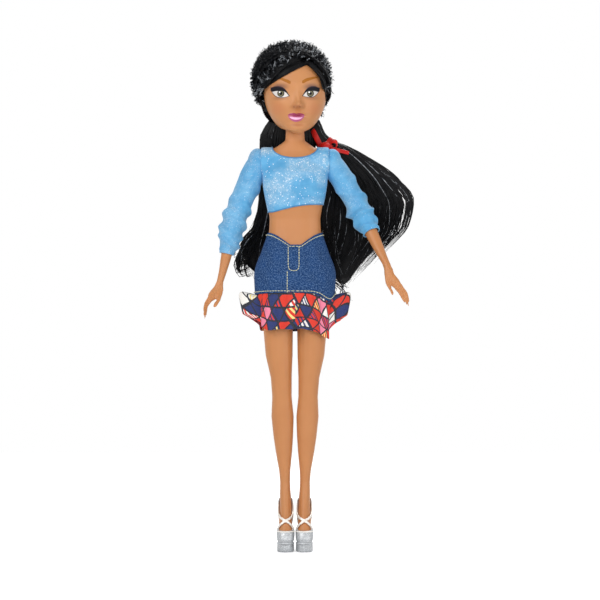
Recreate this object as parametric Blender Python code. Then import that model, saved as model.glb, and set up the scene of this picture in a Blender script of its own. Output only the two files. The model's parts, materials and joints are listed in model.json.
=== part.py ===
"""A dressed fashion doll, standing on its soles and facing -Y. Metres, +Z up.

The body is laid out about its own middle plane and then moved by FRAME_X and FRAME_Y, so that the
origin is under the middle of the whole doll, hair and hands included. "Left" is the doll's own left, +X.
"""

import math

import bmesh
import bpy
from mathutils import Matrix, Vector

# Clearances and walls
GAP = 0.0003  # between pieces that touch
TURN_GAP = 0.0005  # round a piece that turns
OVERRUN = 0.02  # how far a cutter runs past what it cuts
CLOTH = 0.0006  # knitted cloth of the top
CLOTH_EASE = 0.0004  # between skin and cloth
DENIM = 0.0008
TAPE = 0.0005  # closing tapes
TAPE_WIDTH = 0.006
VINYL = 0.002  # wall of the head
SHOE_WALL = 0.0009
RIBBON = 0.0005

# Where the frame's origin lies from the body's middle
FRAME_X = -0.0066
FRAME_Y = -0.0018

# Heights that stack up from the floor
HIP_Z = 0.162
TORSO_LENGTH = 0.0665  # hip axis to shoulder axis
CHIN_RISE = 0.0161  # shoulder axis to chin
HEAD_HEIGHT = 0.0484
SHOULDER_Z = HIP_Z + TORSO_LENGTH
CHIN_Z = SHOULDER_Z + CHIN_RISE

# Torso
HIP_HALF = 0.0205
HIP_FRONT = 0.0105
HIP_BACK = 0.0125
WAIST_HALF = 0.0150
WAIST_FRONT = 0.0080
WAIST_BACK = 0.0080
CHEST_HALF = 0.0190
BUST_FRONT = 0.0135
CHEST_BACK = 0.0095
NECK_RADIUS = 0.0055
NECK_Y = 0.0012
NECK_TOP = CHIN_Z + 0.197 * HEAD_HEIGHT
SEAM_Y = NECK_Y
SQUARENESS = 2.35  # of the body's oval sections

# Shoulder joint
SHOULDER_Y = 0.0010
SHOULDER_SIDE = CHEST_HALF + 2 * GAP  # flat side of the shoulder, from the middle
BOSS_RADIUS = 0.0082
PEG_RADIUS = 0.0026
PEG_LENGTH = 0.0060
PEG_HEAD_RADIUS = 0.0042
PEG_HEAD_LENGTH = 0.0025

# Arm
SHOULDER_BALL = 0.0076
SHOULDER_DEPTH = 0.0056  # half the shoulder's size along its axis
UPPER_ARM = 0.0355
FOREARM = 0.0400
HAND = 0.0238
UPPER_ARM_RADIUS = 0.0056
ELBOW_RADIUS = 0.0045
WRIST_RADIUS = 0.0020
PALM_HALF = 0.0031
PALM_THICK = 0.0014
FINGER_RADIUS = 0.0009
# degrees outwards from straight down of upper arm, forearm and hand, then degrees forward of the last two
ARM_ANGLES = {
    "left": (30, 25, 30.5, 24, 10),
    "right": (22, 13.5, 26, 5, 28),
}

# Hip joint
BARREL_RADIUS = 0.0125
BARREL_Y = 0.0010
WEB_HALF = 0.0012
AXLE_RADIUS = 0.0015
AXLE_HALF = 0.0135

# Leg, from the hip down
THIGH_HALF = 0.0088
THIGH_DEPTH = 0.0086
KNEE_HALF = 0.0057
KNEE_DEPTH = 0.0058
CALF_HALF = 0.0067
CALF_BACK = 0.0080
ANKLE_HALF = 0.0030
ANKLE_DEPTH = 0.0037
FOOT_HALF = 0.0041
FOOT_LENGTH = 0.0230
THIGH_X = 0.0099
KNEE_X = 0.0077
ANKLE_X = 0.0059
FOOT_X = 0.0055

# Shoe
PLATFORM = 0.0050
HEEL_TIP = 0.0021
STRAP_WIDTH = 0.0019
STRAP_TOP = 0.0290
STRAP_CROSSING = 0.0180
VAMP_TOP = 0.0112

# Head
HEAD_HALF = 0.0184
HEAD_FRONT = 0.0185
HEAD_BACK = 0.0195
HEAD_TURN = math.radians(6)
NOSE = 0.0034
KNOB_RADIUS = 0.0074
KNOB_THICK = 0.0030
STEM_RADIUS = 0.0020
STEM_LENGTH = 0.0100

# Hair
HAIR_HALF = 0.0240
HAIR_FRONT = 0.0195
HAIR_BACK = 0.0246
HAIR_RISE = 0.0065  # above the skull
NAPE_Z = CHIN_Z + 0.16 * HEAD_HEIGHT
FRINGE = 0.0022  # how far the smooth hair stands off the head
FALL_LENGTH = 0.0990
FALL_HALF = 0.0350
FALL_THICK = 0.0090
TAIL_REACH = 0.0655
TAIL_DROP = 0.0990
TAIL_THICK = 0.0090

# Top
NECKLINE_HALF = 0.0132
NECKLINE_DEPTH = 0.0065
TOP_HEM_Z = HIP_Z + 0.605 * TORSO_LENGTH
TOP_HEM_SLOPE = 0.0020
SLEEVE_RADIUS = 0.0070
CUFF_RADIUS = {"left": 0.0049, "right": 0.0042}
CUFF_SHARES = {"left": 0.32, "right": 0.52}  # along the forearm
FOLD = 0.0006

# Skirt
SKIRT_TOP_Z = HIP_Z + 0.37 * TORSO_LENGTH
SKIRT_DIP = 0.0072
SKIRT_HEM_Z = HIP_Z - 0.0120
SKIRT_HEM_EASE = 0.0030
RUFFLE_DROP = 0.0215
RUFFLE_FOLD = 0.0016
RUFFLE_DRAW = 0.0011
RUFFLE_FLARE = 0.0085
RUFFLE_CLOTH = 0.0007

# Ribbon
KNOT_HALF = 0.0048
RIBBON_WIDTH = 0.0032

COLOURS = {
    # name: red, green, blue, roughness
    "skin": (0.66, 0.30, 0.115, 0.45),
    "hair": (0.004, 0.004, 0.008, 0.35),
    "knit": (0.15, 0.50, 0.82, 0.75),
    "denim": (0.015, 0.055, 0.17, 0.85),
    "print": (0.75, 0.08, 0.03, 0.80),
    "silver": (0.50, 0.52, 0.53, 0.40),
    "ribbon": (0.60, 0.01, 0.01, 0.45),
    "tape": (0.80, 0.80, 0.78, 0.90),
    "nylon": (0.75, 0.70, 0.62, 0.50),
}


def mix(first, second, share):
    return first + (second - first) * share


def smooth(rows, at):
    """The values of the rows' columns at one height, on a smooth curve that never swings past the rows."""
    last = len(rows) - 1
    at = min(max(at, rows[0][0]), rows[last][0])
    i = max(k for k in range(last) if rows[k][0] <= at)
    step = rows[i + 1][0] - rows[i][0]
    t = (at - rows[i][0]) / step

    def slope(k, column):
        if k in (0, last):
            return 0.0
        before = (rows[k][column] - rows[k - 1][column]) / (rows[k][0] - rows[k - 1][0])
        after = (rows[k + 1][column] - rows[k][column]) / (rows[k + 1][0] - rows[k][0])
        return 0.0 if before * after <= 0 else 2 * before * after / (before + after)

    values = []
    for column in range(1, len(rows[0])):
        a, b = rows[i][column], rows[i + 1][column]
        da, db = slope(i, column) * step, slope(i + 1, column) * step
        values.append(
            a * (2 * t**3 - 3 * t**2 + 1)
            + da * (t**3 - 2 * t**2 + t)
            + b * (3 * t**2 - 2 * t**3)
            + db * (t**3 - t**2)
        )
    return values


def round_power(value, power):
    return math.copysign(abs(value) ** (2 / power), value)


def oval(x, half, front, back, z, count, power=SQUARENESS, crowd=0.0):
    """One level section: its middle x, half width, front and back y. crowd packs the points at the front."""
    points = []
    for i in range(count):
        t = 2 * math.pi * i / count
        angle = t - crowd * math.sin(t + math.pi / 2)
        across = round_power(math.cos(angle), power)
        along = round_power(math.sin(angle), power)
        points.append(Vector((x + half * across, mix(front, back, 0.5 + along / 2), z)))
    return points


def skin(rings, loop=False):
    """A closed mesh through rings of points. With loop, the last ring joins the first, as in a tube's wall."""
    bm = bmesh.new()
    loops = [[bm.verts.new(point) for point in ring] for ring in rings]
    pairs = list(zip(loops, loops[1:]))
    if loop:
        pairs.append((loops[-1], loops[0]))
    for lower, upper in pairs:
        for i, vert in enumerate(lower):
            j = (i + 1) % len(lower)
            bm.faces.new((vert, lower[j], upper[j], upper[i]))
    if not loop:
        bm.faces.new(list(reversed(loops[0])))
        bm.faces.new(loops[-1])
    bmesh.ops.recalc_face_normals(bm, faces=bm.faces[:])
    if bm.calc_volume(signed=True) < 0:
        bmesh.ops.reverse_faces(bm, faces=bm.faces[:])
    return bm


def wall(rings, thick):
    """A closed wall of even thickness, outwards from a surface given as rings of points, top to bottom.

    Its top edge is cut level."""
    last, count = len(rings) - 1, len(rings[0])
    outer = []
    for k, ring in enumerate(rings):
        above, below = rings[max(k - 1, 0)], rings[min(k + 1, last)]
        moved = []
        for i, point in enumerate(ring):
            along = ring[(i + 1) % count] - ring[i - 1]
            normal = along.cross(above[i] - below[i])
            if k == 0:
                normal.z = 0
            moved.append(point + normal.normalized() * thick)
        outer.append(moved)
    return skin(rings + outer[::-1], loop=True)


def swell(bm, distance):
    """Moves each point out along its normal."""
    bm.normal_update()
    moves = [(vert, vert.normal * distance) for vert in bm.verts]
    for vert, move in moves:
        vert.co += move
    return bm


def new_object(name, bm):
    mesh = bpy.data.meshes.new(name)
    bm.to_mesh(mesh)
    bm.free()
    obj = bpy.data.objects.new(name, mesh)
    bpy.context.scene.collection.objects.link(obj)
    return obj


def combine(obj, operation, *others):
    """Applies a Boolean with each of the others in turn, and removes them.

    Where faces nearly meet, the exact solver can leave nothing, and the manifold one is used."""
    for other in others:
        tool = new_object("tool", other) if isinstance(other, bmesh.types.BMesh) else other
        modifier = obj.modifiers.new("boolean", "BOOLEAN")
        modifier.operation = operation
        modifier.object = tool
        for solver in ("EXACT", "MANIFOLD"):
            modifier.solver = solver
            graph = bpy.context.evaluated_depsgraph_get()
            mesh = bpy.data.meshes.new_from_object(obj.evaluated_get(graph))
            if mesh.polygons:
                break
        obj.modifiers.clear()
        obj.data = mesh
        bpy.data.objects.remove(tool)
    return obj


def cut(obj, *others):
    return combine(obj, "DIFFERENCE", *others)


def join(obj, *others):
    return combine(obj, "UNION", *others)


def keep(obj, *others):
    return combine(obj, "INTERSECT", *others)


def block(low, high):
    bm = bmesh.new()
    bmesh.ops.create_cube(bm, size=1)
    low, high = Vector(low), Vector(high)
    size = high - low
    bmesh.ops.scale(bm, vec=size, verts=bm.verts)
    bmesh.ops.translate(bm, vec=(low + high) / 2, verts=bm.verts)
    return bm


def rod(centre, axis, radius, length, count=24, radius_end=None):
    """A round rod that starts at centre and runs along axis."""
    bm = bmesh.new()
    end = radius if radius_end is None else radius_end
    turn = Vector((0, 0, 1)).rotation_difference(Vector(axis)).to_matrix().to_4x4()
    place = Matrix.Translation(centre) @ turn @ Matrix.Translation((0, 0, length / 2))
    bmesh.ops.create_cone(
        bm, cap_ends=True, segments=count, radius1=radius, radius2=end, depth=length, matrix=place
    )
    return bm


def ball(centre, halves, count=20):
    bm = bmesh.new()
    place = Matrix.Translation(centre) @ Matrix.Diagonal((*halves, 1))
    bmesh.ops.create_uvsphere(bm, u_segments=count, v_segments=count // 2, radius=1, matrix=place)
    return bm


def prism(outline, low, high, along="y"):
    """An outline of (x, z) points run through y, or of (y, z) points run through x."""
    rings = []
    for depth in (low, high):
        if along == "y":
            rings.append([Vector((x, depth, z)) for x, z in outline])
        else:
            rings.append([Vector((depth, y, z)) for y, z in outline])
    return skin(rings)


def bar(start, end, width):
    """The outline of a straight strip between two (x, z) points."""
    start, end = Vector(start), Vector(end)
    side = (end - start).orthogonal().normalized() * width / 2
    return [start + side, end + side, end - side, start - side]


# Torso: heights are shares of the torso's length above the hip axis, and between the hips, waist, chest and
# neck the sizes are mixed from those of the two nearest
TORSO_ROWS = [
    (HIP_Z - 0.20 * TORSO_LENGTH, 0.97 * HIP_HALF, -0.90 * HIP_FRONT, 0.92 * HIP_BACK),
    (HIP_Z, HIP_HALF, -HIP_FRONT, HIP_BACK),
    (HIP_Z + 0.20 * TORSO_LENGTH, mix(WAIST_HALF, HIP_HALF, 0.45), -0.95 * HIP_FRONT, 0.85 * HIP_BACK),
    (HIP_Z + 0.48 * TORSO_LENGTH, WAIST_HALF, -WAIST_FRONT, WAIST_BACK),
    (
        HIP_Z + 0.68 * TORSO_LENGTH,
        mix(WAIST_HALF, CHEST_HALF, 0.55),
        -mix(WAIST_FRONT, BUST_FRONT, 0.35),
        mix(WAIST_BACK, CHEST_BACK, 0.60),
    ),
    (HIP_Z + 0.82 * TORSO_LENGTH, 0.98 * CHEST_HALF, -BUST_FRONT, CHEST_BACK),
    (HIP_Z + 0.92 * TORSO_LENGTH, CHEST_HALF, -0.78 * BUST_FRONT, CHEST_BACK),
    (SHOULDER_Z + 0.02 * TORSO_LENGTH, 0.98 * CHEST_HALF, -0.55 * BUST_FRONT, 0.92 * CHEST_BACK),
    (SHOULDER_Z + 0.10 * TORSO_LENGTH, 0.76 * CHEST_HALF, -NECK_RADIUS, NECK_Y + 1.1 * NECK_RADIUS),
    (SHOULDER_Z + 0.145 * TORSO_LENGTH, 1.55 * NECK_RADIUS, NECK_Y - NECK_RADIUS, NECK_Y + NECK_RADIUS),
    (SHOULDER_Z + 0.20 * TORSO_LENGTH, 1.02 * NECK_RADIUS, NECK_Y - NECK_RADIUS, NECK_Y + NECK_RADIUS),
    (NECK_TOP, NECK_RADIUS, NECK_Y - NECK_RADIUS, NECK_Y + NECK_RADIUS),
]
TORSO_LEVELS = 16
TORSO_COUNT = 24


def torso_section(z, extra=0.0):
    half, front, back = smooth(TORSO_ROWS, z)
    return half + extra, front - extra, back + extra


def torso_form(extra=0.0):
    """The torso and its shoulder bosses, swollen by extra, as clothes and cuts need it."""
    low, high = TORSO_ROWS[0][0], TORSO_ROWS[-1][0]
    rings = []
    for i in range(TORSO_LEVELS + 1):
        z = mix(low, high, i / TORSO_LEVELS)
        half, front, back = torso_section(z, extra)
        rings.append(oval(0, half, front, back, z, TORSO_COUNT))
    torso = new_object("torso", skin(rings))
    reach = SHOULDER_SIDE - CHEST_HALF / 2 + 4 * extra
    for side in (-1, 1):
        start = (side * CHEST_HALF / 2, SHOULDER_Y, SHOULDER_Z)
        join(torso, rod(start, (side, 0, 0), BOSS_RADIUS + extra, reach, TORSO_COUNT))
    return torso


def make_torso():
    """Two moulded halves, with sockets for the shoulder pegs, the hip barrels, the axle and the neck's stem.
    Below the hips only a thin round web is left, which the legs swing past."""
    far = 2 * OVERRUN
    socket = SHOULDER_SIDE - PEG_LENGTH + 2 * GAP + TURN_GAP
    halves = []
    for name, low, high in (
        ("torso_front", -far, SEAM_Y - GAP / 2),
        ("torso_back", SEAM_Y + GAP / 2, far),
    ):
        torso = torso_form()
        torso.name = name
        for side in (-1, 1):
            out, into = (side, 0, 0), (-side, 0, 0)
            barrel = (side * WEB_HALF, BARREL_Y, HIP_Z)
            peg = (side * SHOULDER_SIDE, SHOULDER_Y, SHOULDER_Z)
            peg_head = (side * socket, SHOULDER_Y, SHOULDER_Z)
            cut(
                torso,
                rod(barrel, out, BARREL_RADIUS + TURN_GAP, HIP_HALF + OVERRUN, 28),
                rod(peg, into, PEG_RADIUS + TURN_GAP, PEG_LENGTH, 16),
                rod(peg_head, into, PEG_HEAD_RADIUS + TURN_GAP, PEG_HEAD_LENGTH + 2 * (GAP + TURN_GAP), 16),
            )
        cut(torso, block((-far, -far, HIP_Z - far), (far, far, HIP_Z)))
        join(torso, rod((-WEB_HALF, BARREL_Y, HIP_Z), (1, 0, 0), BARREL_RADIUS, 2 * WEB_HALF, 28))
        axle_bore = rod((-far, BARREL_Y, HIP_Z), (1, 0, 0), AXLE_RADIUS + GAP, 2 * far, 16)
        stem_start = (0, NECK_Y, NECK_TOP - STEM_LENGTH - GAP)
        cut(torso, axle_bore, rod(stem_start, (0, 0, 1), STEM_RADIUS + GAP, STEM_LENGTH + OVERRUN, 16))
        halves.append(keep(torso, block((-far, low, 0), (far, high, NECK_TOP + OVERRUN))))
    return halves


def make_neck_knob():
    """Turned in one: a stem in the neck, a flange that the head snaps over and a domed top."""
    base = NECK_TOP - STEM_LENGTH
    flange = NECK_TOP + 3 * GAP
    profile = [
        (STEM_RADIUS, base),
        (STEM_RADIUS, flange),
        (KNOB_RADIUS * 0.86, flange),
        (KNOB_RADIUS, flange + 0.3 * KNOB_THICK),
        (KNOB_RADIUS * 0.92, flange + 0.65 * KNOB_THICK),
        (KNOB_RADIUS * 0.55, flange + 0.95 * KNOB_THICK),
        (KNOB_RADIUS * 0.1, flange + KNOB_THICK),
    ]
    rings = []
    for radius, z in profile:
        rings.append(oval(0, radius, NECK_Y - radius, NECK_Y + radius, z, 16, 2))
    return new_object("neck_knob", skin(rings))


def make_hip_axle():
    axle = rod((-AXLE_HALF, BARREL_Y, HIP_Z), (1, 0, 0), AXLE_RADIUS, 2 * AXLE_HALF, 20)
    return new_object("hip_axle", axle)


# Head: shares of its height above the chin, of its half width, of its front and of its back
HEAD_SHARES = [
    (0.000, 0.14, 0.78, -0.51),
    (0.034, 0.32, 0.865, -0.25),
    (0.079, 0.505, 0.908, 0.41),
    (0.122, 0.62, 0.919, 0.57),
    (0.218, 0.79, 0.935, 0.74),
    (0.315, 0.91, 0.962, 0.86),
    (0.420, 0.98, 0.985, 0.95),
    (0.550, 1.00, 1.000, 1.00),
    (0.722, 0.94, 0.935, 0.95),
    (0.850, 0.76, 0.730, 0.745),
    (0.936, 0.515, 0.46, 0.51),
    (1.000, 0.10, 0.05, 0.10),
]
# Face relief: middle x and width as shares of the half width, middle z and height as shares of the head's
# height, and rise as a share of the nose's
FACE_SHARES = [
    (0.00, 0.105, 0.322, 0.038, 1.00),  # nose tip
    (0.00, 0.075, 0.400, 0.070, 0.50),  # bridge
    (0.10, 0.060, 0.313, 0.022, 0.28),  # nostril wing
    (0.00, 0.210, 0.213, 0.015, 0.42),  # upper lip
    (0.00, 0.180, 0.158, 0.020, 0.48),  # lower lip
    (0.00, 0.170, 0.194, 0.008, -0.22),  # between the lips
    (0.00, 0.200, 0.102, 0.020, -0.16),  # under the lower lip
    (0.00, 0.250, 0.042, 0.042, 0.30),  # chin
    (0.47, 0.220, 0.473, 0.058, -0.38),  # eye socket
    (0.46, 0.300, 0.585, 0.048, 0.14),  # brow
    (0.52, 0.260, 0.350, 0.090, 0.16),  # cheek
]


# Share of the levels used up to each share of the head's height
HEAD_LEVELS = [(0.0, 0.0), (0.08, 0.03), (0.42, 0.26), (0.58, 0.42), (0.78, 0.72), (1.0, 1.0)]


def head_section(share):
    half, front, back = smooth(HEAD_SHARES, share)
    return HEAD_HALF * half, -HEAD_FRONT * front, HEAD_BACK * back


def face_rise(x, z):
    total = 0.0
    for middle, width, height, depth, rise in FACE_SHARES:
        for side in (-1, 1) if middle else (1,):
            across = (x / HEAD_HALF - side * middle) / width
            up = ((z - CHIN_Z) / HEAD_HEIGHT - height) / depth
            total += rise * math.exp(-(across**2 + up**2) / 2)
    return NOSE * total


def head_form(levels, count, crowd=0.0, face=False, shrink=0.0, start=0.0):
    """The skull as stacked ovals, closest over the face. With shrink it is the hollow inside the wall."""
    rings = []
    for i in range(levels + 1):
        share = start + (1 - start) * smooth(HEAD_LEVELS, i / levels)[0]
        half, front, back = head_section(share)
        z = CHIN_Z + share * (HEAD_HEIGHT - shrink) + (shrink if start else 0) * (1 - share)
        ring = oval(0, max(half - shrink, half / 9), front + shrink * 0.7, back - shrink, z, count, 2.15, crowd)
        if face:
            for point in ring:
                if point.y < 0:
                    point.y -= face_rise(point.x, point.z) * min(1, -2 * point.y / HEAD_FRONT)
        rings.append(ring)
    bm = skin(rings)
    around = Matrix.Translation((0, NECK_Y, 0)) @ Matrix.Rotation(HEAD_TURN, 4, "Z")
    bmesh.ops.transform(bm, matrix=around @ Matrix.Translation((0, -NECK_Y, 0)), verts=bm.verts)
    return bm


def make_head():
    """Hollow vinyl, 2 mm thick, with a round hole that closes under the knob's flange."""
    head = new_object("head_shell", head_form(30, 34, crowd=0.72, face=True))
    hollow = head_form(9, 14, shrink=VINYL, start=0.182)
    hole = rod((0, NECK_Y, CHIN_Z - OVERRUN), (0, 0, 1), NECK_RADIUS + TURN_GAP, OVERRUN + 0.228 * HEAD_HEIGHT)
    return cut(head, hollow, hole)


# Hair over the skull: height share from the nape to the top, then shares of its half width, front and back
CAP_SHARES = [
    (0.00, 0.50, 0.10, 0.60),
    (0.08, 0.66, 0.35, 0.74),
    (0.24, 0.83, 0.62, 0.90),
    (0.34, 0.925, 0.76, 0.96),
    (0.46, 0.995, 0.90, 1.00),
    (0.60, 0.985, 1.00, 0.985),
    (0.72, 0.90, 0.97, 0.90),
    (0.84, 0.74, 0.80, 0.70),
    (0.95, 0.49, 0.48, 0.45),
    (1.00, 0.12, 0.10, 0.12),
]
CAP_SIDE = -0.0018  # the hair's middle, to the side of the body's
HAIRLINE_Y = -0.0020  # how far back the face opening runs
# The edge of the face opening, seen from the front: shares of the hair's half width and of the head's height
OPENING_SHARES = [
    (-1.00, 0.325),
    (-0.97, 0.479),
    (-0.84, 0.672),
    (-0.62, 0.817),
    (-0.26, 0.928),
    (0.20, 0.937),
    (0.52, 0.865),
    (0.76, 0.730),
    (0.90, 0.537),
    (0.92, 0.325),
]
PARTING_SHARE = (0.27, 0.879)
# The lower edges of the fringe and of the side sweep, from the parting outwards
FRINGE_SHARES = [(-0.02, 0.826), (-0.26, 0.744), (-0.55, 0.595), (-0.83, 0.474), (-0.90, 0.363)]
SWEEP_SHARES = [(0.49, 0.773), (0.67, 0.653), (0.75, 0.518)]


def front_point(share):
    return (CAP_SIDE + share[0] * HAIR_HALF, CHIN_Z + share[1] * HEAD_HEIGHT)


def make_hair_cap():
    """The short standing hair: it covers the skull from the face opening to the nape."""
    top = CHIN_Z + HEAD_HEIGHT + HAIR_RISE
    rings = []
    levels = 13
    for i in range(levels + 1):
        share = (1 - math.cos(math.pi * i / levels)) / 2
        half, front, back = smooth(CAP_SHARES, share)
        z = mix(NAPE_Z, top, share)
        rings.append(
            oval(CAP_SIDE, half * HAIR_HALF, -front * HAIR_FRONT, back * HAIR_BACK, z, 22, 2.2)
        )
    cap = new_object("hair_cap", skin(rings))
    opening = [front_point(share) for share in OPENING_SHARES]
    low = NAPE_Z - OVERRUN
    opening = [(opening[0][0], low)] + opening + [(opening[-1][0], low)]
    cut(cap, prism(opening, -2 * OVERRUN, HAIRLINE_Y))
    return cut(cap, swell(head_form(14, 22), 3 * GAP))


def make_smooth_hair(name, edge_shares, opening_part):
    """Combed hair between the face opening's edge and its own lower edge, close on the head."""
    middle = front_point((0, 0.55))
    outer = []
    for share in opening_part:
        x, z = front_point(share)
        inward = Vector((middle[0] - x, middle[1] - z)).normalized() * 2 * GAP
        outer.append((x + inward.x, z + inward.y))
    outline = [front_point(PARTING_SHARE)] + [front_point(share) for share in edge_shares] + outer
    hair = new_object(name, swell(head_form(15, 26, crowd=0.3), FRINGE))
    cut(hair, swell(head_form(15, 26, crowd=0.3), 3 * GAP))
    return keep(hair, prism(outline, -2 * OVERRUN, HAIRLINE_Y - GAP))


def lock_ring(left, right, y, thick, count, waves, depth, extra=0.0):
    """A flat oval section between two (x, z) points, with shallow grooves as between strands."""
    left, right = Vector((left[0], 0, left[1])), Vector((right[0], 0, right[1]))
    across = right - left
    middle = (left + right) / 2
    half = across.length / 2 + extra
    across.normalize()
    ring = []
    for i in range(count):
        angle = 2 * math.pi * i / count
        groove = 1 - depth * (0.5 - 0.5 * math.cos(waves * angle))
        point = middle + across * half * round_power(math.cos(angle), 2.4)
        point.y = y + (thick / 2 * groove + extra) * round_power(math.sin(angle), 2.4)
        ring.append(point)
    return ring


# Loose hair down the back: share of the length, then left edge, right edge as shares of its half width, y as a
# share of its thickness, and thickness share
FALL_SHARES = [
    (0.00, -0.52, 0.26, 1.68, 0.62),
    (0.10, -0.62, 0.26, 1.66, 0.80),
    (0.20, -0.60, 0.20, 1.84, 0.95),
    (0.35, -0.60, 0.18, 1.98, 1.00),
    (0.50, -0.70, 0.20, 1.98, 1.00),
    (0.65, -0.80, 0.24, 2.16, 1.00),
    (0.80, -0.92, 0.24, 2.42, 0.95),
    (0.92, -0.90, 0.16, 2.44, 0.85),
    (1.00, -0.66, -0.10, 2.42, 0.60),
]
FALL_COUNT = 20


def make_hair_fall():
    top = NAPE_Z - 2 * GAP
    levels = 12
    rings = []
    for i in range(levels + 1):
        share = i / levels
        left, right, y, thick = smooth(FALL_SHARES, share)
        z = top - share * FALL_LENGTH
        tilt = 0.06 * FALL_LENGTH * share
        rings.append(
            lock_ring(
                (left * FALL_HALF, z + tilt),
                (right * FALL_HALF, z - tilt),
                y * FALL_THICK,
                thick * FALL_THICK,
                FALL_COUNT,
                8,
                0.16,
            )
        )
    return new_object("hair_fall", skin(rings))


# The gathered tail: share along it, then its two edges as x shares of the reach and z shares of the drop below
# its start, y as a share of its thickness, and thickness share
TAIL_SHARES = [
    (0.00, 0.145, 0.040, 0.215, -0.005, 1.52, 0.62),
    (0.08, 0.165, 0.100, 0.265, 0.055, 1.48, 0.66),
    (0.17, 0.225, 0.160, 0.340, 0.100, 1.46, 0.64),
    (0.26, 0.290, 0.215, 0.470, 0.130, 1.50, 0.80),
    (0.38, 0.300, 0.320, 0.700, 0.250, 1.62, 0.95),
    (0.50, 0.270, 0.450, 0.885, 0.360, 1.66, 1.00),
    (0.62, 0.225, 0.590, 1.000, 0.480, 1.70, 1.00),
    (0.74, 0.215, 0.730, 0.960, 0.620, 1.82, 1.00),
    (0.86, 0.250, 0.860, 0.780, 0.760, 2.05, 0.95),
    (0.95, 0.330, 0.960, 0.620, 0.880, 2.10, 0.80),
    (1.00, 0.420, 1.000, 0.520, 0.970, 2.10, 0.55),
]
TAIL_COUNT = 20


def tail_ring(share, extra=0.0):
    left_x, left_z, right_x, right_z, y, thick = smooth(TAIL_SHARES, share)
    start = NAPE_Z
    return lock_ring(
        (left_x * TAIL_REACH, start - left_z * TAIL_DROP),
        (right_x * TAIL_REACH, start - right_z * TAIL_DROP),
        y * TAIL_THICK,
        thick * TAIL_THICK,
        TAIL_COUNT,
        9,
        0.14,
        extra,
    )


def tail_form(extra=0.0, low=0.0, high=1.0, levels=15):
    return skin([tail_ring(mix(low, high, i / levels), extra) for i in range(levels + 1)])


TIE_SHARES = (0.145, 0.205)  # where the ribbon goes round the tail
LEAD_SHARES = (0.02, 0.19)  # the stretch along which its lead lies


def tail_edge(share, across):
    """A (x, z) point on the tail seen from the front, between its lower and its upper edge."""
    left_x, left_z, right_x, right_z = smooth(TAIL_SHARES, share)[:4]
    x = mix(left_x, right_x, across) * TAIL_REACH
    return (x, NAPE_Z - mix(left_z, right_z, across) * TAIL_DROP)


def make_ribbon_band():
    """Round the tail once, with a lead that lies along the tail's lower edge as far as the nape."""
    low, high = LEAD_SHARES[0], TIE_SHARES[1]
    band = new_object("ribbon_band", tail_form(1.2 * GAP + RIBBON, low, high, 6))
    cut(band, tail_form(1.2 * GAP, low - 0.02, high + 0.03, 7))
    lead = prism(
        bar(tail_edge(LEAD_SHARES[0] - 0.1, 0.1), tail_edge(LEAD_SHARES[1], 0.1), RIBBON_WIDTH),
        -OVERRUN,
        TAIL_SHARES[0][5] * TAIL_THICK,
    )
    middle = tail_edge(sum(TIE_SHARES) / 2, 0.5)
    along = Vector(tail_edge(TIE_SHARES[1], 0.5)) - Vector(tail_edge(TIE_SHARES[0], 0.5))
    side = along.orthogonal().normalized() * OVERRUN
    tie = prism(bar(Vector(middle) - side, Vector(middle) + side, RIBBON_WIDTH), -OVERRUN, 2 * OVERRUN)
    return keep(band, join(new_object("tool", lead), tie))


def make_ribbon_bow():
    """Knot, one small loop and one end, in front of the tie."""
    x, z = tail_edge(sum(TIE_SHARES) / 2, 0.42)
    thick = TAIL_SHARES[2][6] * TAIL_THICK
    y = TAIL_SHARES[2][5] * TAIL_THICK - thick / 2 - 2 * GAP - RIBBON - 0.42 * KNOT_HALF
    z += 0.10 * KNOT_HALF
    bow = new_object("ribbon_bow", ball((x, y, z), (KNOT_HALF * 0.8, KNOT_HALF * 0.42, KNOT_HALF * 0.55), 12))
    rings = []
    count = 16
    for i in range(count):
        angle = 2 * math.pi * i / count
        reach = KNOT_HALF * (0.62 + 0.38 * math.cos(angle))
        centre = Vector((x + 1.35 * reach, y, z + KNOT_HALF * (0.30 * math.sin(angle) + 0.10)))
        ring = []
        for along, out in ((-1, -1), (1, -1), (1, 1), (-1, 1)):
            swing = Vector((math.cos(angle), 0, math.sin(angle))) * out * RIBBON / 2
            ring.append(centre + swing + Vector((0, along * KNOT_HALF * 0.36, 0)))
        rings.append(ring)
    join(bow, skin(rings, loop=True))
    tail_start = (x + 0.4 * KNOT_HALF, z - 0.1 * KNOT_HALF)
    tail_end = (x + 2.9 * KNOT_HALF, z - 1.15 * KNOT_HALF)
    end = prism(bar(tail_start, tail_end, RIBBON_WIDTH * 0.55), y - RIBBON / 2, y + RIBBON / 2)
    return join(bow, end)


def arm_points(side_name):
    """Shoulder, elbow, wrist and fingertip."""
    side = 1 if side_name == "left" else -1
    upper, fore, hand, fore_ahead, hand_ahead = (math.radians(angle) for angle in ARM_ANGLES[side_name])
    shoulder = Vector((side * (SHOULDER_SIDE + 0.4 * SHOULDER_DEPTH), SHOULDER_Y, SHOULDER_Z))

    def step(angle, ahead, length):
        drop = length * math.cos(ahead)
        return Vector(
            (side * drop * math.sin(angle), -length * math.sin(ahead), -drop * math.cos(angle))
        )

    elbow = shoulder + step(upper, 0, UPPER_ARM)
    wrist = elbow + step(fore, fore_ahead, FOREARM)
    tip = wrist + step(hand, hand_ahead, HAND)
    return shoulder, elbow, wrist, tip


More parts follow.
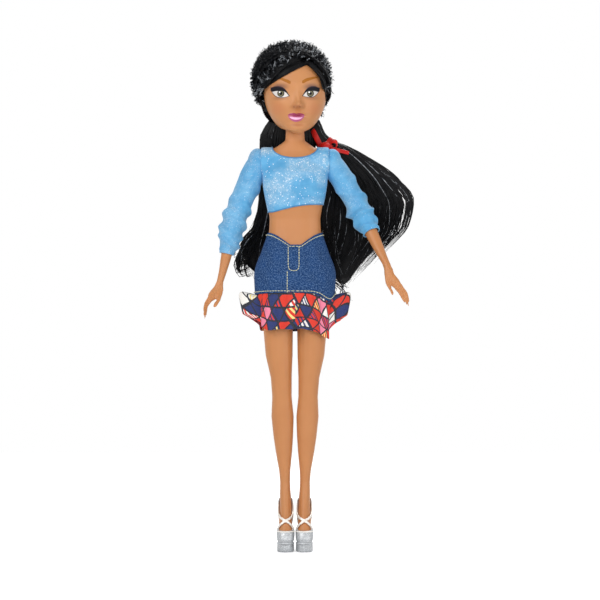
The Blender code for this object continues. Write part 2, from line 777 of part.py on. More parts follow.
def arm_centre(points, share):
    """A point on the arm's middle line: 0 at the shoulder, 1 at the elbow, 2 at the wrist, 3 at the tip."""
    shoulder, elbow, wrist, tip = points
    i = min(int(share), 2)
    t = share - i
    before = points[i - 1] if i else shoulder * 2 - elbow
    after = points[i + 2] if i < 2 else tip * 2 - wrist
    a, b = points[i], points[i + 1]
    da, db = (b - before) / 2, (after - a) / 2
    h = (2 * t**3 - 3 * t**2 + 1, t**3 - 2 * t**2 + t, 3 * t**2 - 2 * t**3, t**3 - t**2)
    return a * h[0] + da * h[1] + b * h[2] + db * h[3]


def limb_ring(points, share, half, depth, count):
    """An oval section square to the arm's middle line: half across it, depth along y."""
    step = 0.02
    centre = arm_centre(points, share)
    ahead = (arm_centre(points, min(share + step, 3)) - arm_centre(points, share - step)).normalized()
    side = ahead.cross(Vector((0, 1, 0))).normalized()
    front = side.cross(ahead).normalized()
    ring = []
    for i in range(count):
        angle = 2 * math.pi * i / count
        ring.append(centre + side * half * math.cos(angle) + front * depth * math.sin(angle))
    return ring


# Arm: place along it (0 shoulder, 1 elbow, 2 wrist), half width and half depth
ARM_ROWS = [
    (0.00, 0.90 * UPPER_ARM_RADIUS, UPPER_ARM_RADIUS),
    (0.35, UPPER_ARM_RADIUS, 1.05 * UPPER_ARM_RADIUS),
    (0.75, mix(ELBOW_RADIUS, UPPER_ARM_RADIUS, 0.3), mix(ELBOW_RADIUS, UPPER_ARM_RADIUS, 0.3)),
    (1.00, ELBOW_RADIUS, ELBOW_RADIUS),
    (1.20, 0.93 * ELBOW_RADIUS, 0.97 * ELBOW_RADIUS),
    (1.50, mix(WRIST_RADIUS, ELBOW_RADIUS, 0.55), mix(WRIST_RADIUS, ELBOW_RADIUS, 0.5)),
    (2.00, WRIST_RADIUS, 0.85 * WRIST_RADIUS),
    (2.14, 0.80 * PALM_HALF, PALM_THICK),
    (2.34, PALM_HALF, PALM_THICK),
    (2.50, 0.92 * PALM_HALF, 0.85 * PALM_THICK),
]
# Fingers: place across the palm as a share of its half width, and length as a share of the hand's
FINGER_SHARES = ((-0.72, 0.36), (-0.24, 0.44), (0.24, 0.50), (0.72, 0.44))


def arm_form(points, low, high, levels, count, extra=0.0):
    rings = []
    for i in range(levels + 1):
        share = mix(low, high, i / levels)
        half, depth = smooth(ARM_ROWS, share)
        rings.append(limb_ring(points, share, half + extra, depth + extra, count))
    return skin(rings)


def finger(start, ahead, side, length, radius):
    """A finger that tapers and closes at its tip."""
    rings = []
    up = ahead.cross(side).normalized()
    for along, share in ((0, 1.0), (0.6, 0.92), (0.93, 0.62), (1.0, 0.25)):
        centre = start + ahead * length * along
        ring = []
        for i in range(6):
            angle = 2 * math.pi * i / 6
            ring.append(centre + (side * math.cos(angle) + up * math.sin(angle)) * radius * share)
        rings.append(ring)
    return skin(rings)


def make_arm(side_name):
    side = 1 if side_name == "left" else -1
    points = arm_points(side_name)
    flat = side * (SHOULDER_SIDE + GAP)
    arm = new_object(f"arm_{side_name}", arm_form(points, 0, 2.5, 14, 12))
    join(arm, ball(points[0], (SHOULDER_DEPTH, SHOULDER_BALL, SHOULDER_BALL), 16))
    low, high = sorted((flat, -side * OVERRUN))
    reach = SHOULDER_Z + OVERRUN
    cut(arm, block((low, -OVERRUN, HIP_Z), (high, OVERRUN, reach)))
    join(
        arm,
        rod((flat - side * PEG_LENGTH, SHOULDER_Y, SHOULDER_Z), (side, 0, 0), PEG_RADIUS, PEG_LENGTH + 4 * GAP, 16),
        rod(
            (flat - side * (PEG_LENGTH + PEG_HEAD_LENGTH), SHOULDER_Y, SHOULDER_Z),
            (side, 0, 0),
            PEG_HEAD_RADIUS * 0.8,
            PEG_HEAD_LENGTH + GAP,
            16,
            PEG_HEAD_RADIUS,
        ),
    )
    ahead = (points[3] - points[2]).normalized()
    across = ahead.cross(Vector((0, 1, 0))).normalized() * side
    knuckles = arm_centre(points, 2.44)
    for place, length in FINGER_SHARES:
        start = knuckles + across * place * PALM_HALF
        join(arm, finger(start, (ahead - across * place * 0.06).normalized(), across, length * HAND, FINGER_RADIUS))
    thumb = arm_centre(points, 2.16) + across * -0.55 * PALM_HALF
    down = (ahead * 1.0 - across * 0.55 + Vector((0, -0.15, 0))).normalized()
    join(arm, finger(thumb, down, across, 0.42 * HAND, FINGER_RADIUS * 1.15))
    return arm


# Sleeve: place along the arm's span up to the cuff, radius share between the sleeve and the cuff, fold share
SLEEVE_SHARES = [
    (0.00, 1.00, 0.0),
    (0.18, 1.02, 0.2),
    (0.45, 0.98, 0.5),
    (0.70, 0.96, 1.0),
    (0.88, 0.72, 1.0),
    (0.96, 0.20, 0.5),
    (1.00, 0.00, 0.0),
]
SLEEVE_FOLDS = 7


def sleeve_form(side_name, extra, overrun=0.0):
    points = arm_points(side_name)
    cuff = 1 + CUFF_SHARES[side_name]
    levels = 13
    rings = []
    for i in range(levels + 1):
        share = i / levels
        full, fold = smooth(SLEEVE_SHARES, share)
        place = share * cuff
        arm_half, arm_depth = smooth(ARM_ROWS, place)
        radius = mix(CUFF_RADIUS[side_name], SLEEVE_RADIUS, full)
        radius += FOLD * fold * math.sin(2 * math.pi * SLEEVE_FOLDS * share**1.6)
        least = CLOTH_EASE + extra
        half = max(radius + extra - CLOTH, arm_half + least)
        depth = max(radius + extra - CLOTH, arm_depth + least)
        rings.append(limb_ring(points, place, half, depth, 14))
    if overrun:
        last = rings[-1]
        run = (points[2] - points[1]).normalized() * overrun
        rings.append([point + run for point in last])
    return skin(rings)


def make_sleeve(side_name):
    """From the armhole, a circle round the shoulder axis, to the gathered cuff."""
    side = 1 if side_name == "left" else -1
    centre = arm_points(side_name)[0]
    edge = side * (SHOULDER_SIDE + GAP)
    ease = BOSS_RADIUS + CLOTH_EASE - GAP - SHOULDER_BALL
    inner = [SHOULDER_DEPTH + ease, SHOULDER_BALL + ease, SHOULDER_BALL + ease]
    outer = [half + CLOTH for half in inner]
    sleeve = new_object(f"sleeve_{side_name}", ball(centre, outer, 14))
    join(sleeve, sleeve_form(side_name, CLOTH))
    hollow = new_object("tool", ball(centre, inner, 14))
    join(hollow, sleeve_form(side_name, 0.0, OVERRUN))
    low, high = sorted((edge, -side * OVERRUN))
    cut(sleeve, hollow, block((low, -OVERRUN, HIP_Z), (high, OVERRUN, SHOULDER_Z + OVERRUN)))
    return sleeve


def make_top():
    """A shell round the torso with a scooped neck, open down the back."""
    bodice = torso_form(CLOTH_EASE + CLOTH)
    bodice.name = "top_bodice"
    neck_side = SHOULDER_Z + 0.122 * TORSO_LENGTH
    scoop = []
    count = 12
    for i in range(count + 1):
        angle = math.pi * i / count
        scoop.append((-NECKLINE_HALF * math.cos(angle), neck_side - NECKLINE_DEPTH * math.sin(angle)))
    top = NECK_TOP + OVERRUN
    front_outline = scoop + [(NECKLINE_HALF, top), (-NECKLINE_HALF, top)]
    back_outline = []
    for x, z in front_outline:
        back_outline.append((x, z if z >= neck_side else mix(neck_side, z, 0.35)))
    far = 2 * OVERRUN
    hem = [
        (-far, TOP_HEM_Z - 2 * TOP_HEM_SLOPE),
        (far, TOP_HEM_Z + 2 * TOP_HEM_SLOPE),
        (far, HIP_Z - far),
        (-far, HIP_Z - far),
    ]
    side_plane = SHOULDER_SIDE
    cut(
        bodice,
        prism(front_outline, -far, NECK_Y),
        prism(back_outline, NECK_Y - GAP, far),
        prism(hem, -far, far),
        block((side_plane, -far, HIP_Z), (far, far, top)),
        block((-far, -far, HIP_Z), (-side_plane, far, top)),
        block((-GAP, 2 * NECK_Y, HIP_Z), (GAP, far, top)),
        torso_form(CLOTH_EASE),
    )
    return bodice


def make_top_tapes():
    """The hook and loop strips that close the top's back, one over the other."""
    low = TOP_HEM_Z + TOP_HEM_SLOPE
    high = SHOULDER_Z - TAPE
    tapes = []
    start = CLOTH_EASE + CLOTH + GAP
    for name in ("top_loop_tape", "top_hook_tape"):
        tape = torso_form(start + TAPE)
        tape.name = name
        cut(tape, torso_form(start))
        keep(tape, block((-TAPE_WIDTH / 2, 0, low), (TAPE_WIDTH / 2, 2 * OVERRUN, high)))
        tapes.append(tape)
        start += TAPE + GAP
    return tapes


# Skirt: share of its length, and share of the hem's ease
SKIRT_SHARES = [(0.00, 0.00), (0.20, 0.35), (0.50, 0.85), (1.00, 1.00)]
SKIRT_COUNT = 32


def skirt_edges(angle):
    """Top and hem heights at an angle round the body: the top dips at the front, the hem at the sides."""
    front = max(0.0, -math.sin(angle))
    top = SKIRT_TOP_Z - SKIRT_DIP * front**3 - 0.2 * SKIRT_DIP * max(0.0, math.sin(angle))
    hem = SKIRT_HEM_Z + 0.2 * SKIRT_DIP * front
    return top, hem


def skirt_point(angle, share, extra):
    top, hem = skirt_edges(angle)
    z = mix(top, hem, share)
    ease = CLOTH_EASE + SKIRT_HEM_EASE * smooth(SKIRT_SHARES, share)[0] + extra
    half, front, back = torso_section(z, ease)
    across = round_power(math.cos(angle), SQUARENESS)
    along = round_power(math.sin(angle), SQUARENESS)
    return Vector((half * across, mix(front, back, 0.5 + along / 2), z))


def skirt_ring(share, extra):
    return [skirt_point(2 * math.pi * i / SKIRT_COUNT, share, extra) for i in range(SKIRT_COUNT)]


def make_skirt():
    """A fitted tube of denim, slit down the back."""
    levels = 5
    rings = [skirt_ring(i / levels, 0.0) for i in range(levels + 1)]
    skirt = new_object("skirt_denim", wall(rings, DENIM))
    slit = block((-GAP, HIP_BACK / 2, 0), (GAP, 2 * OVERRUN, SHOULDER_Z))
    return cut(skirt, slit)


def make_skirt_tapes():
    low, high = 0.04, 0.62
    levels = 6
    tapes = []
    start = DENIM + GAP
    reach = TAPE_WIDTH / 2
    for name in ("skirt_loop_tape", "skirt_hook_tape"):
        rings = []
        for extra in (start, start + TAPE):
            shares = [mix(low, high, i / levels) for i in range(levels + 1)]
            if extra == start:
                shares.reverse()
            rings += [skirt_ring(share, extra) for share in shares]
        tape = new_object(name, skin(rings, loop=True))
        keep(tape, block((-reach, HIP_BACK / 2, 0), (reach, 2 * OVERRUN, SHOULDER_Z)))
        tapes.append(tape)
        start += TAPE + GAP
    return tapes


RUFFLE_COUNT = 58
RUFFLE_FOLDS = 9
# Share of the ruffle's drop, then shares of the flare at the sides, of the folds and of the draw inwards
RUFFLE_SHARES = [
    (0.00, 0.00, 0.00, 0.0),
    (0.25, 0.95, 0.45, 0.2),
    (0.50, 0.95, 0.80, 0.5),
    (0.75, 0.35, 0.95, 0.9),
    (1.00, 0.00, 1.00, 1.3),
]
RUFFLE_LIFT = 0.0045  # how far the flares at the sides stand up past the hem


def ruffle_ring(share):
    flare, fold, draw = smooth(RUFFLE_SHARES, share)
    ring = []
    for i in range(RUFFLE_COUNT):
        angle = 2 * math.pi * i / RUFFLE_COUNT
        base = skirt_point(angle, 1.0, 0.0)
        out = Vector((math.cos(angle), math.sin(angle), 0))
        sideways = max(0.0, abs(math.cos(angle)) - 0.72) / 0.28
        wave = math.cos(RUFFLE_FOLDS * angle + 0.6 * math.sin(2 * angle))
        push = RUFFLE_FLARE * flare * sideways**1.5 + RUFFLE_FOLD * fold * wave - RUFFLE_DRAW * draw
        drop = RUFFLE_DROP * share * (1 + 0.05 * wave * fold) * (1 - 0.30 * sideways)
        drop -= RUFFLE_LIFT * sideways**1.5 * math.sin(math.pi * min(1, 1.6 * share))
        ring.append(base + out * push - Vector((0, 0, drop + GAP)))
    return ring


def make_ruffle():
    """A gathered band sewn under the hem, with folds that grow downwards and flare at the sides."""
    levels = 4
    return new_object("skirt_ruffle", wall([ruffle_ring(i / levels) for i in range(levels + 1)], RUFFLE_CLOTH))


# Leg: height, middle x, half width, front y, back y. Heights are shares of the hip's height
LEG_ROWS = [
    (0.034 * HIP_Z, FOOT_X, 0.76 * FOOT_HALF, -0.635 * FOOT_LENGTH, -0.37 * FOOT_LENGTH),
    (0.050 * HIP_Z, FOOT_X, FOOT_HALF, -0.635 * FOOT_LENGTH, -0.28 * FOOT_LENGTH),
    (0.074 * HIP_Z, FOOT_X, FOOT_HALF, -0.565 * FOOT_LENGTH, -0.15 * FOOT_LENGTH),
    (0.105 * HIP_Z, FOOT_X, 0.94 * FOOT_HALF, -0.47 * FOOT_LENGTH, 0.09 * FOOT_LENGTH),
    (0.136 * HIP_Z, FOOT_X, 0.90 * FOOT_HALF, -0.375 * FOOT_LENGTH, 0.33 * FOOT_LENGTH),
    (0.167 * HIP_Z, FOOT_X, 0.87 * FOOT_HALF, -0.28 * FOOT_LENGTH, 0.365 * FOOT_LENGTH),
    (0.204 * HIP_Z, mix(FOOT_X, ANKLE_X, 0.6), 1.08 * ANKLE_HALF, -1.12 * ANKLE_DEPTH, 1.75 * ANKLE_DEPTH),
    (0.253 * HIP_Z, ANKLE_X, ANKLE_HALF, -0.70 * ANKLE_DEPTH, 1.32 * ANKLE_DEPTH),
    (0.340 * HIP_Z, mix(ANKLE_X, KNEE_X, 0.3), 0.69 * CALF_HALF, -0.62 * KNEE_DEPTH, 0.74 * CALF_BACK),
    (0.420 * HIP_Z, mix(ANKLE_X, KNEE_X, 0.6), 0.90 * CALF_HALF, -0.76 * KNEE_DEPTH, 0.92 * CALF_BACK),
    (0.481 * HIP_Z, mix(ANKLE_X, KNEE_X, 0.8), CALF_HALF, -0.86 * KNEE_DEPTH, CALF_BACK),
    (0.530 * HIP_Z, KNEE_X, mix(KNEE_HALF, CALF_HALF, 0.4), -0.95 * KNEE_DEPTH, 0.82 * CALF_BACK),
    (0.583 * HIP_Z, KNEE_X, KNEE_HALF, -1.07 * KNEE_DEPTH, 0.97 * KNEE_DEPTH),
    (0.667 * HIP_Z, mix(KNEE_X, THIGH_X, 0.5), 0.82 * THIGH_HALF, -0.86 * THIGH_DEPTH, 0.84 * THIGH_DEPTH),
    (0.760 * HIP_Z, THIGH_X, THIGH_HALF, -0.96 * THIGH_DEPTH, THIGH_DEPTH),
    (0.870 * HIP_Z, THIGH_X, THIGH_HALF, -THIGH_DEPTH, 1.10 * THIGH_DEPTH),
    (0.960 * HIP_Z, THIGH_X, 0.92 * THIGH_HALF, -THIGH_DEPTH, 1.10 * THIGH_DEPTH),
]
FOOT_POWER = 2.1
LEG_RINGS = 21
LEG_COUNT = 15
# Share of the rings used up to each share of the leg's height: they are closest round the foot
LEG_LEVELS = [(0.0, 0.0), (0.48, 0.23), (0.75, 0.62), (1.0, 1.0)]


def leg_form(side, high=HIP_Z, extra=0.0):
    """Leg and foot up to a height, swollen by extra, with the same rings for the shoe as for the foot."""
    bottom, top = LEG_ROWS[0][0], LEG_ROWS[-1][0]
    heights = [mix(bottom, top, smooth(LEG_LEVELS, i / LEG_RINGS)[0]) for i in range(LEG_RINGS + 1)]
    heights = [z for z in heights if z < high - GAP] + [min(high, top)]
    rings = []
    for z in heights:
        x, half, front, back = smooth(LEG_ROWS, z)
        rings.append(oval(side * x, half, front, back, z, LEG_COUNT, FOOT_POWER))
    bm = skin(rings)
    return swell(bm, extra) if extra else bm


def make_leg(side_name):
    """Leg and foot in one, with a hip barrel that fills out the torso's outline and carries the axle's bore."""
    side = 1 if side_name == "left" else -1
    leg = new_object(f"leg_{side_name}", leg_form(side))
    start = (side * (WEB_HALF + GAP), BARREL_Y, HIP_Z)
    barrel = new_object("tool", rod(start, (side, 0, 0), BARREL_RADIUS, HIP_HALF + OVERRUN, 28))
    join(leg, keep(barrel, torso_form()))
    bore = rod((0, BARREL_Y, HIP_Z), (side, 0, 0), AXLE_RADIUS + TURN_GAP, AXLE_HALF + GAP, 16)
    return cut(leg, bore)


def make_shoe(side_name):
    """A moulded platform shoe: toe cap, low sides, heel cup, two straps that cross, platform and heel."""
    side = 1 if side_name == "left" else -1
    x = side * FOOT_X
    shoe = new_object(f"shoe_{side_name}", leg_form(side, STRAP_TOP, GAP + SHOE_WALL))
    far = 2 * OVERRUN
    foot_back = 0.30 * FOOT_LENGTH
    vamp = -0.45 * FOOT_LENGTH
    topline = [
        (-far, VAMP_TOP),
        (vamp, VAMP_TOP + 0.05 * STRAP_TOP),
        (0.25 * vamp, 0.42 * STRAP_TOP),
        (0.10 * foot_back, 0.66 * STRAP_TOP),
        (0.50 * foot_back, 0.93 * STRAP_TOP),
        (0.62 * foot_back, far),
        (-far, far),
    ]
    opening = new_object("tool", prism(topline, x - far, x + far, "x"))
    reach = FOOT_HALF * 1.25
    crossing = (x, STRAP_CROSSING)
    for turn in (-1, 1):
        top = (x + turn * reach, STRAP_TOP)
        low = (x - turn * reach, mix(STRAP_CROSSING, VAMP_TOP, 1.15))
        cut(opening, prism(bar(top, crossing, STRAP_WIDTH), -far, 0.55 * foot_back))
        cut(opening, prism(bar(crossing, low, STRAP_WIDTH), -far, 0))
    cut(shoe, opening)
    rings = []
    middle, half = 0.5 * (-0.635 - 0.16) * FOOT_LENGTH, FOOT_HALF + SHOE_WALL
    for z, share in ((0, 0.95), (0.2 * PLATFORM, 1.0), (0.8 * PLATFORM, 0.99), (PLATFORM, 0.95)):
        length = 0.5 * (0.68 - 0.14) * FOOT_LENGTH * share
        rings.append(oval(x, half * share, middle - length, middle + length, z, 18, 2.3))
    join(shoe, skin(rings))
    rings = []
    heel_y = 0.27 * FOOT_LENGTH
    heel_top = 0.132 * HIP_Z
    for share, size in ((0, 1.0), (0.25, 0.95), (0.6, 1.15), (0.85, 1.45), (1.0, 1.65)):
        radius = HEEL_TIP * size
        lean = 0.04 * FOOT_LENGTH * share
        rings.append(oval(x, radius, heel_y - lean - radius, heel_y - lean + radius, share * heel_top, 10, 2))
    join(shoe, skin(rings))
    return cut(shoe, leg_form(side, STRAP_TOP * 1.3, GAP))


def material(name):
    red, green, blue, roughness = COLOURS[name]
    made = bpy.data.materials.new(name)
    made.use_nodes = True
    shader = made.node_tree.nodes["Principled BSDF"]
    shader.inputs["Base Color"].default_value = (red, green, blue, 1)
    shader.inputs["Roughness"].default_value = roughness
    shader.inputs["Metallic"].default_value = 0.8 if name == "silver" else 0
    made.diffuse_color = (red, green, blue, 1)
    return made


def empty(name, place, parent=None):
    axis = bpy.data.objects.new(name, None)
    axis.empty_display_size = NECK_RADIUS
    axis.location = place
    axis.parent = parent
    bpy.context.scene.collection.objects.link(axis)
    return axis


def hang(objects, axis, place, look):
    """Puts the objects on their joint's empty, with the material that they share."""
    for obj in objects:
        obj.data.transform(Matrix.Translation(-Vector(place)))
        obj.parent = axis
        obj.data.materials.clear()
        obj.data.materials.append(look)
        obj.data.shade_smooth()
        obj.data.set_sharp_from_angle(angle=math.radians(40))


def main():
    for obj in list(bpy.data.objects):
        bpy.data.objects.remove(obj)
    looks = {name: material(name) for name in COLOURS}
    root = empty("doll", (FRAME_X, FRAME_Y, 0))

    def group(axis, place, parts):
        for look, objects in parts:
            hang(objects, axis, place, looks[look])

    group(
        root,
        (0, 0, 0),
        [
            ("skin", make_torso()),
            ("nylon", [make_neck_knob(), make_hip_axle()]),
            ("knit", [make_top()]),
            ("tape", make_top_tapes() + make_skirt_tapes()),
            ("denim", [make_skirt()]),
            ("print", [make_ruffle()]),
            ("hair", [make_hair_fall(), new_object("hair_tail", tail_form())]),
            ("ribbon", [make_ribbon_band(), make_ribbon_bow()]),
        ],
    )
    neck = (0, NECK_Y, NECK_TOP)
    group(
        empty("neck_axis", neck, root),
        neck,
        [
            ("skin", [make_head()]),
            (
                "hair",
                [
                    make_hair_cap(),
                    make_smooth_hair("hair_bangs", FRINGE_SHARES, OPENING_SHARES[0:6]),
                    make_smooth_hair("hair_sweep", SWEEP_SHARES, OPENING_SHARES[8:5:-1]),
                ],
            ),
        ],
    )
    for side_name, side in (("left", 1), ("right", -1)):
        shoulder = (side * SHOULDER_SIDE, SHOULDER_Y, SHOULDER_Z)
        group(
            empty(f"shoulder_axis_{side_name}", shoulder, root),
            shoulder,
            [("skin", [make_arm(side_name)]), ("knit", [make_sleeve(side_name)])],
        )
        hip = (side * THIGH_X, BARREL_Y, HIP_Z)
        group(
            empty(f"hip_axis_{side_name}", hip, root),
            hip,
            [("skin", [make_leg(side_name)]), ("silver", [make_shoe(side_name)])],
        )


main()
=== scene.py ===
# %% [markdown]
# # A dressed fashion doll
# The doll stands on its soles and faces -Y. Its plain solids come from the frame. Here each of them gets the
# shape and finish that the eye sees: vinyl skin, a painted face, rooted hair, knitted cloth, denim, a printed
# ruffle, ribbon and glittered shoes. All lengths are in metres, and MM turns millimetres into them.

# %% Load the frame
import json
import math
import random

import bmesh
import bpy
import numpy as np
from mathutils import Matrix, Vector
from mathutils.bvhtree import BVHTree

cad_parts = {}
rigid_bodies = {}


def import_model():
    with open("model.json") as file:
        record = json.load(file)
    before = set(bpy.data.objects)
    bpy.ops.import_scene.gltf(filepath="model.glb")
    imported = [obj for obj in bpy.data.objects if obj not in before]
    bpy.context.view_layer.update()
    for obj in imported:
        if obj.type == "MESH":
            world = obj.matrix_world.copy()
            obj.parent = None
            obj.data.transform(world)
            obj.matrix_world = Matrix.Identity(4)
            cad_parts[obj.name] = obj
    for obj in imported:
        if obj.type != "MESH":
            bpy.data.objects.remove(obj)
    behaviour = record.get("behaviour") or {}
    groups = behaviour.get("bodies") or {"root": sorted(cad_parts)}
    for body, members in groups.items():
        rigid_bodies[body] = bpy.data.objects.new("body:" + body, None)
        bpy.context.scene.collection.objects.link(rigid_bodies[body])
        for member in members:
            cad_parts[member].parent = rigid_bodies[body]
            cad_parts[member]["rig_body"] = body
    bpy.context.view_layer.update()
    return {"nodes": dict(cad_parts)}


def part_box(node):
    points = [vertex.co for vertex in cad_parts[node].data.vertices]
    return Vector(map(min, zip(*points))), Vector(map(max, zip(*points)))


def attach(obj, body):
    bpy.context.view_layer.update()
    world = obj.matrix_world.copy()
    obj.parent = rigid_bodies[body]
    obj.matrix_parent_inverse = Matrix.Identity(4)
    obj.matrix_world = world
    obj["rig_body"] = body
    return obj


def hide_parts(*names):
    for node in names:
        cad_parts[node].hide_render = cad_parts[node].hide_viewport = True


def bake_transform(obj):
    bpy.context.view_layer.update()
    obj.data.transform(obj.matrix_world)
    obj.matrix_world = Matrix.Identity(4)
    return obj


for leftover in list(bpy.data.objects):
    bpy.data.objects.remove(leftover)
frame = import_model()
MM = 0.001

# %% [markdown]
# ## The camera
# The doll was seen from straight ahead with a long lens, so near and far parts keep almost the same scale. The
# lens follows from the distance and from the width that the frame has to take in.

# %% Camera
VIEW_CENTRE = Vector((-3.65 * MM, 0, 147.06 * MM))
VIEW_WIDTH = 354.4 * MM
DISTANCE = 1200 * MM
EYE = VIEW_CENTRE - Vector((0, DISTANCE, 0))
bpy.ops.object.camera_add(location=EYE, rotation=(math.radians(90), 0, 0))
camera = bpy.context.object
camera.data.lens = camera.data.sensor_width * DISTANCE / VIEW_WIDTH
bpy.context.scene.camera = camera
print("lens in mm:", round(camera.data.lens, 1))

# %% [markdown]
# ## Colours and nodes
# Colours are written as they look on a screen, in hex, and turned to the linear values that the renderer adds up.
# Every material is a small tree, made with one function that adds a node, sets it and links it.

# %% Colour and node helpers


def colour(code):
    """An sRGB hex colour as linear red, green, blue and alpha."""
    parts = [int(code[i : i + 2], 16) / 255 for i in (1, 3, 5)]
    linear = [part / 12.92 if part <= 0.04045 else ((part + 0.055) / 1.055) ** 2.4 for part in parts]
    return (*linear, 1.0)


def add_node(tree, kind, sockets=None, **settings):
    """Adds a node. Each socket takes a value, or another node's output, which is linked."""
    made = tree.nodes.new(kind)
    for name, value in settings.items():
        setattr(made, name, value)
    for name, value in (sockets or {}).items():
        if isinstance(value, bpy.types.NodeSocket):
            tree.links.new(value, made.inputs[name])
        else:
            made.inputs[name].default_value = value
    return made


def start_material(name, finish):
    """A material with a Principled shader. Returns it with its tree and its shader."""
    made = bpy.data.materials.new(name)
    made.use_nodes = True
    tree = made.node_tree
    shader = tree.nodes["Principled BSDF"]
    for socket, value in finish.items():
        shader.inputs[socket].default_value = value
    return made, tree, shader


# The sockets of a Mix node that mixes colours
FACTOR, FIRST, SECOND, MIXED = 0, 6, 7, 2


def object_place(tree):
    """The place of each point on its piece, in metres."""
    return add_node(tree, "ShaderNodeTexCoord").outputs["Object"]


def noise(tree, place, scale, detail=2.0, others=None, output="Fac"):
    """Soft noise with about that many clouds to one step of the place."""
    sockets = {"Vector": place, "Scale": scale, "Detail": detail, **(others or {})}
    return add_node(tree, "ShaderNodeTexNoise", sockets).outputs[output]


def blended(tree, share, first, second):
    """A colour between two, each a hex code or the output of another node."""
    ends = [colour(end) if isinstance(end, str) else end for end in (first, second)]
    sockets = {FACTOR: share, FIRST: ends[0], SECOND: ends[1]}
    return add_node(tree, "ShaderNodeMix", sockets, data_type="RGBA").outputs[MIXED]


def calculated(tree, operation, *values):
    return add_node(tree, "ShaderNodeMath", dict(enumerate(values)), operation=operation).outputs[0]


def vector_step(tree, operation, *values, output=0):
    return add_node(tree, "ShaderNodeVectorMath", dict(enumerate(values)), operation=operation).outputs[output]


def ranged(tree, value, start, end, low=0.0, high=1.0, **settings):
    """A value whose range from start to end is carried over to the range from low to high."""
    sockets = {"Value": value, "From Min": start, "From Max": end, "To Min": low, "To Max": high}
    return add_node(tree, "ShaderNodeMapRange", sockets, **settings).outputs[0]


def flake_draws(tree, place, size):
    """Three random values for each flake of that many millimetres."""
    flake = add_node(tree, "ShaderNodeTexVoronoi", {"Vector": place, "Scale": 1 / (size * MM)})
    return add_node(tree, "ShaderNodeSeparateColor", {0: flake.outputs["Color"]}).outputs


def set_looks(tree, shader, tint, height=None, strength=0.0, depth=0.0, rough=None):
    """Links the tint, a relief of that strength and depth, and the roughness."""
    tree.links.new(tint, shader.inputs["Base Color"])
    if height is not None:
        bump = add_node(tree, "ShaderNodeBump", {"Height": height, "Strength": strength, "Distance": depth})
        tree.links.new(bump.outputs[0], shader.inputs["Normal"])
    if rough is not None:
        tree.links.new(rough, shader.inputs["Roughness"])


def mottled(name, finish, first, second, size, detail=2.0):
    """A material whose tint drifts over that many millimetres."""
    made, tree, shader = start_material(name, finish)
    drift = noise(tree, object_place(tree), 1 / (size * MM), detail)
    set_looks(tree, shader, blended(tree, drift, first, second))
    return made


print("white is", colour("#FFFFFF")[:3])

# %% [markdown]
# ## Vinyl skin
# The limbs and torso are injection moulded, tinted all through, and the soft head is cast in a rotating mould. The
# tint is not quite even, the surface is a fine satin, and light goes a little way in. Scales: mottling about 15 mm
# wide, grain 0.3 mm, coarser than the mould's own texture so that it still shows.

# %% Vinyl skin material


def vinyl_base(tree, shader, first, second):
    """Mottled tint and satin grain, as moulded vinyl has. Returns the tint and the place that it reads."""
    place = object_place(tree)
    cloud = noise(tree, place, 1 / (15 * MM))
    tint = blended(tree, cloud, first, second)
    grain = noise(tree, place, 1 / (0.3 * MM), 1.0)
    set_looks(tree, shader, tint, grain, 0.10, 0.02 * MM, ranged(tree, cloud, 0.0, 1.0, 0.38, 0.50))
    return tint, place


SKIN_FINISH = {
    "IOR": 1.53,
    "Specular IOR Level": 0.35,
    "Subsurface Weight": 0.10,
    "Subsurface Radius": (1.0, 0.45, 0.25),
    "Subsurface Scale": 1.0 * MM,
}
skin, tree, shader = start_material("moulded_vinyl_skin", SKIN_FINISH)
vinyl_base(tree, shader, "#BC7C4A", "#C98956")
print("material:", skin.name)

# %% [markdown]
# ## Finer solids
# Limbs and torso already have their right shape in the frame, in flat facets. A copy is merged, remeshed into even
# small faces and relaxed until the facets are gone. That keeps fingers, joints and seams, which a new loft would
# have to be given one by one.

# %% Finer copies of solids


def pick(piece):
    """Makes one object the only one selected, and the active one."""
    bpy.ops.object.select_all(action="DESELECT")
    piece.select_set(True)
    bpy.context.view_layer.objects.active = piece


def set_material(piece, material):
    piece.data.materials.clear()
    piece.data.materials.append(material)
    return piece


def smooth_shaded(piece, degrees=40):
    pick(piece)
    bpy.ops.object.shade_smooth_by_angle(angle=math.radians(degrees))
    return piece


def new_object(name, data):
    """An object in the scene from a mesh or curve, the only one selected."""
    piece = bpy.data.objects.new(name, data)
    bpy.context.scene.collection.objects.link(piece)
    pick(piece)
    return piece


def join_corners(piece, distance):
    """Makes one corner of all that lie closer together than that."""
    bpy.ops.object.mode_set(mode="EDIT")
    bpy.ops.mesh.select_all(action="SELECT")
    bpy.ops.mesh.remove_doubles(threshold=distance)
    bpy.ops.object.mode_set(mode="OBJECT")


def merged_copy(name, node):
    """A copy of a solid with its corners joined again."""
    piece = new_object(name, frame["nodes"][node].data.copy())
    join_corners(piece, 0.005 * MM)
    return piece


def apply_modifier(piece, kind, **settings):
    """Adds a modifier, sets it and applies it."""
    pick(piece)
    modifier = piece.modifiers.new(kind.lower(), kind)
    for name, value in settings.items():
        setattr(modifier, name, value)
    bpy.ops.object.modifier_apply(modifier=modifier.name)


def mix(first, second, share):
    return first + (second - first) * share


def clamp(value):
    return min(1.0, max(0.0, value))


def eased(share):
    """The share with a slow start and end."""
    return share * share * (3 - 2 * share)


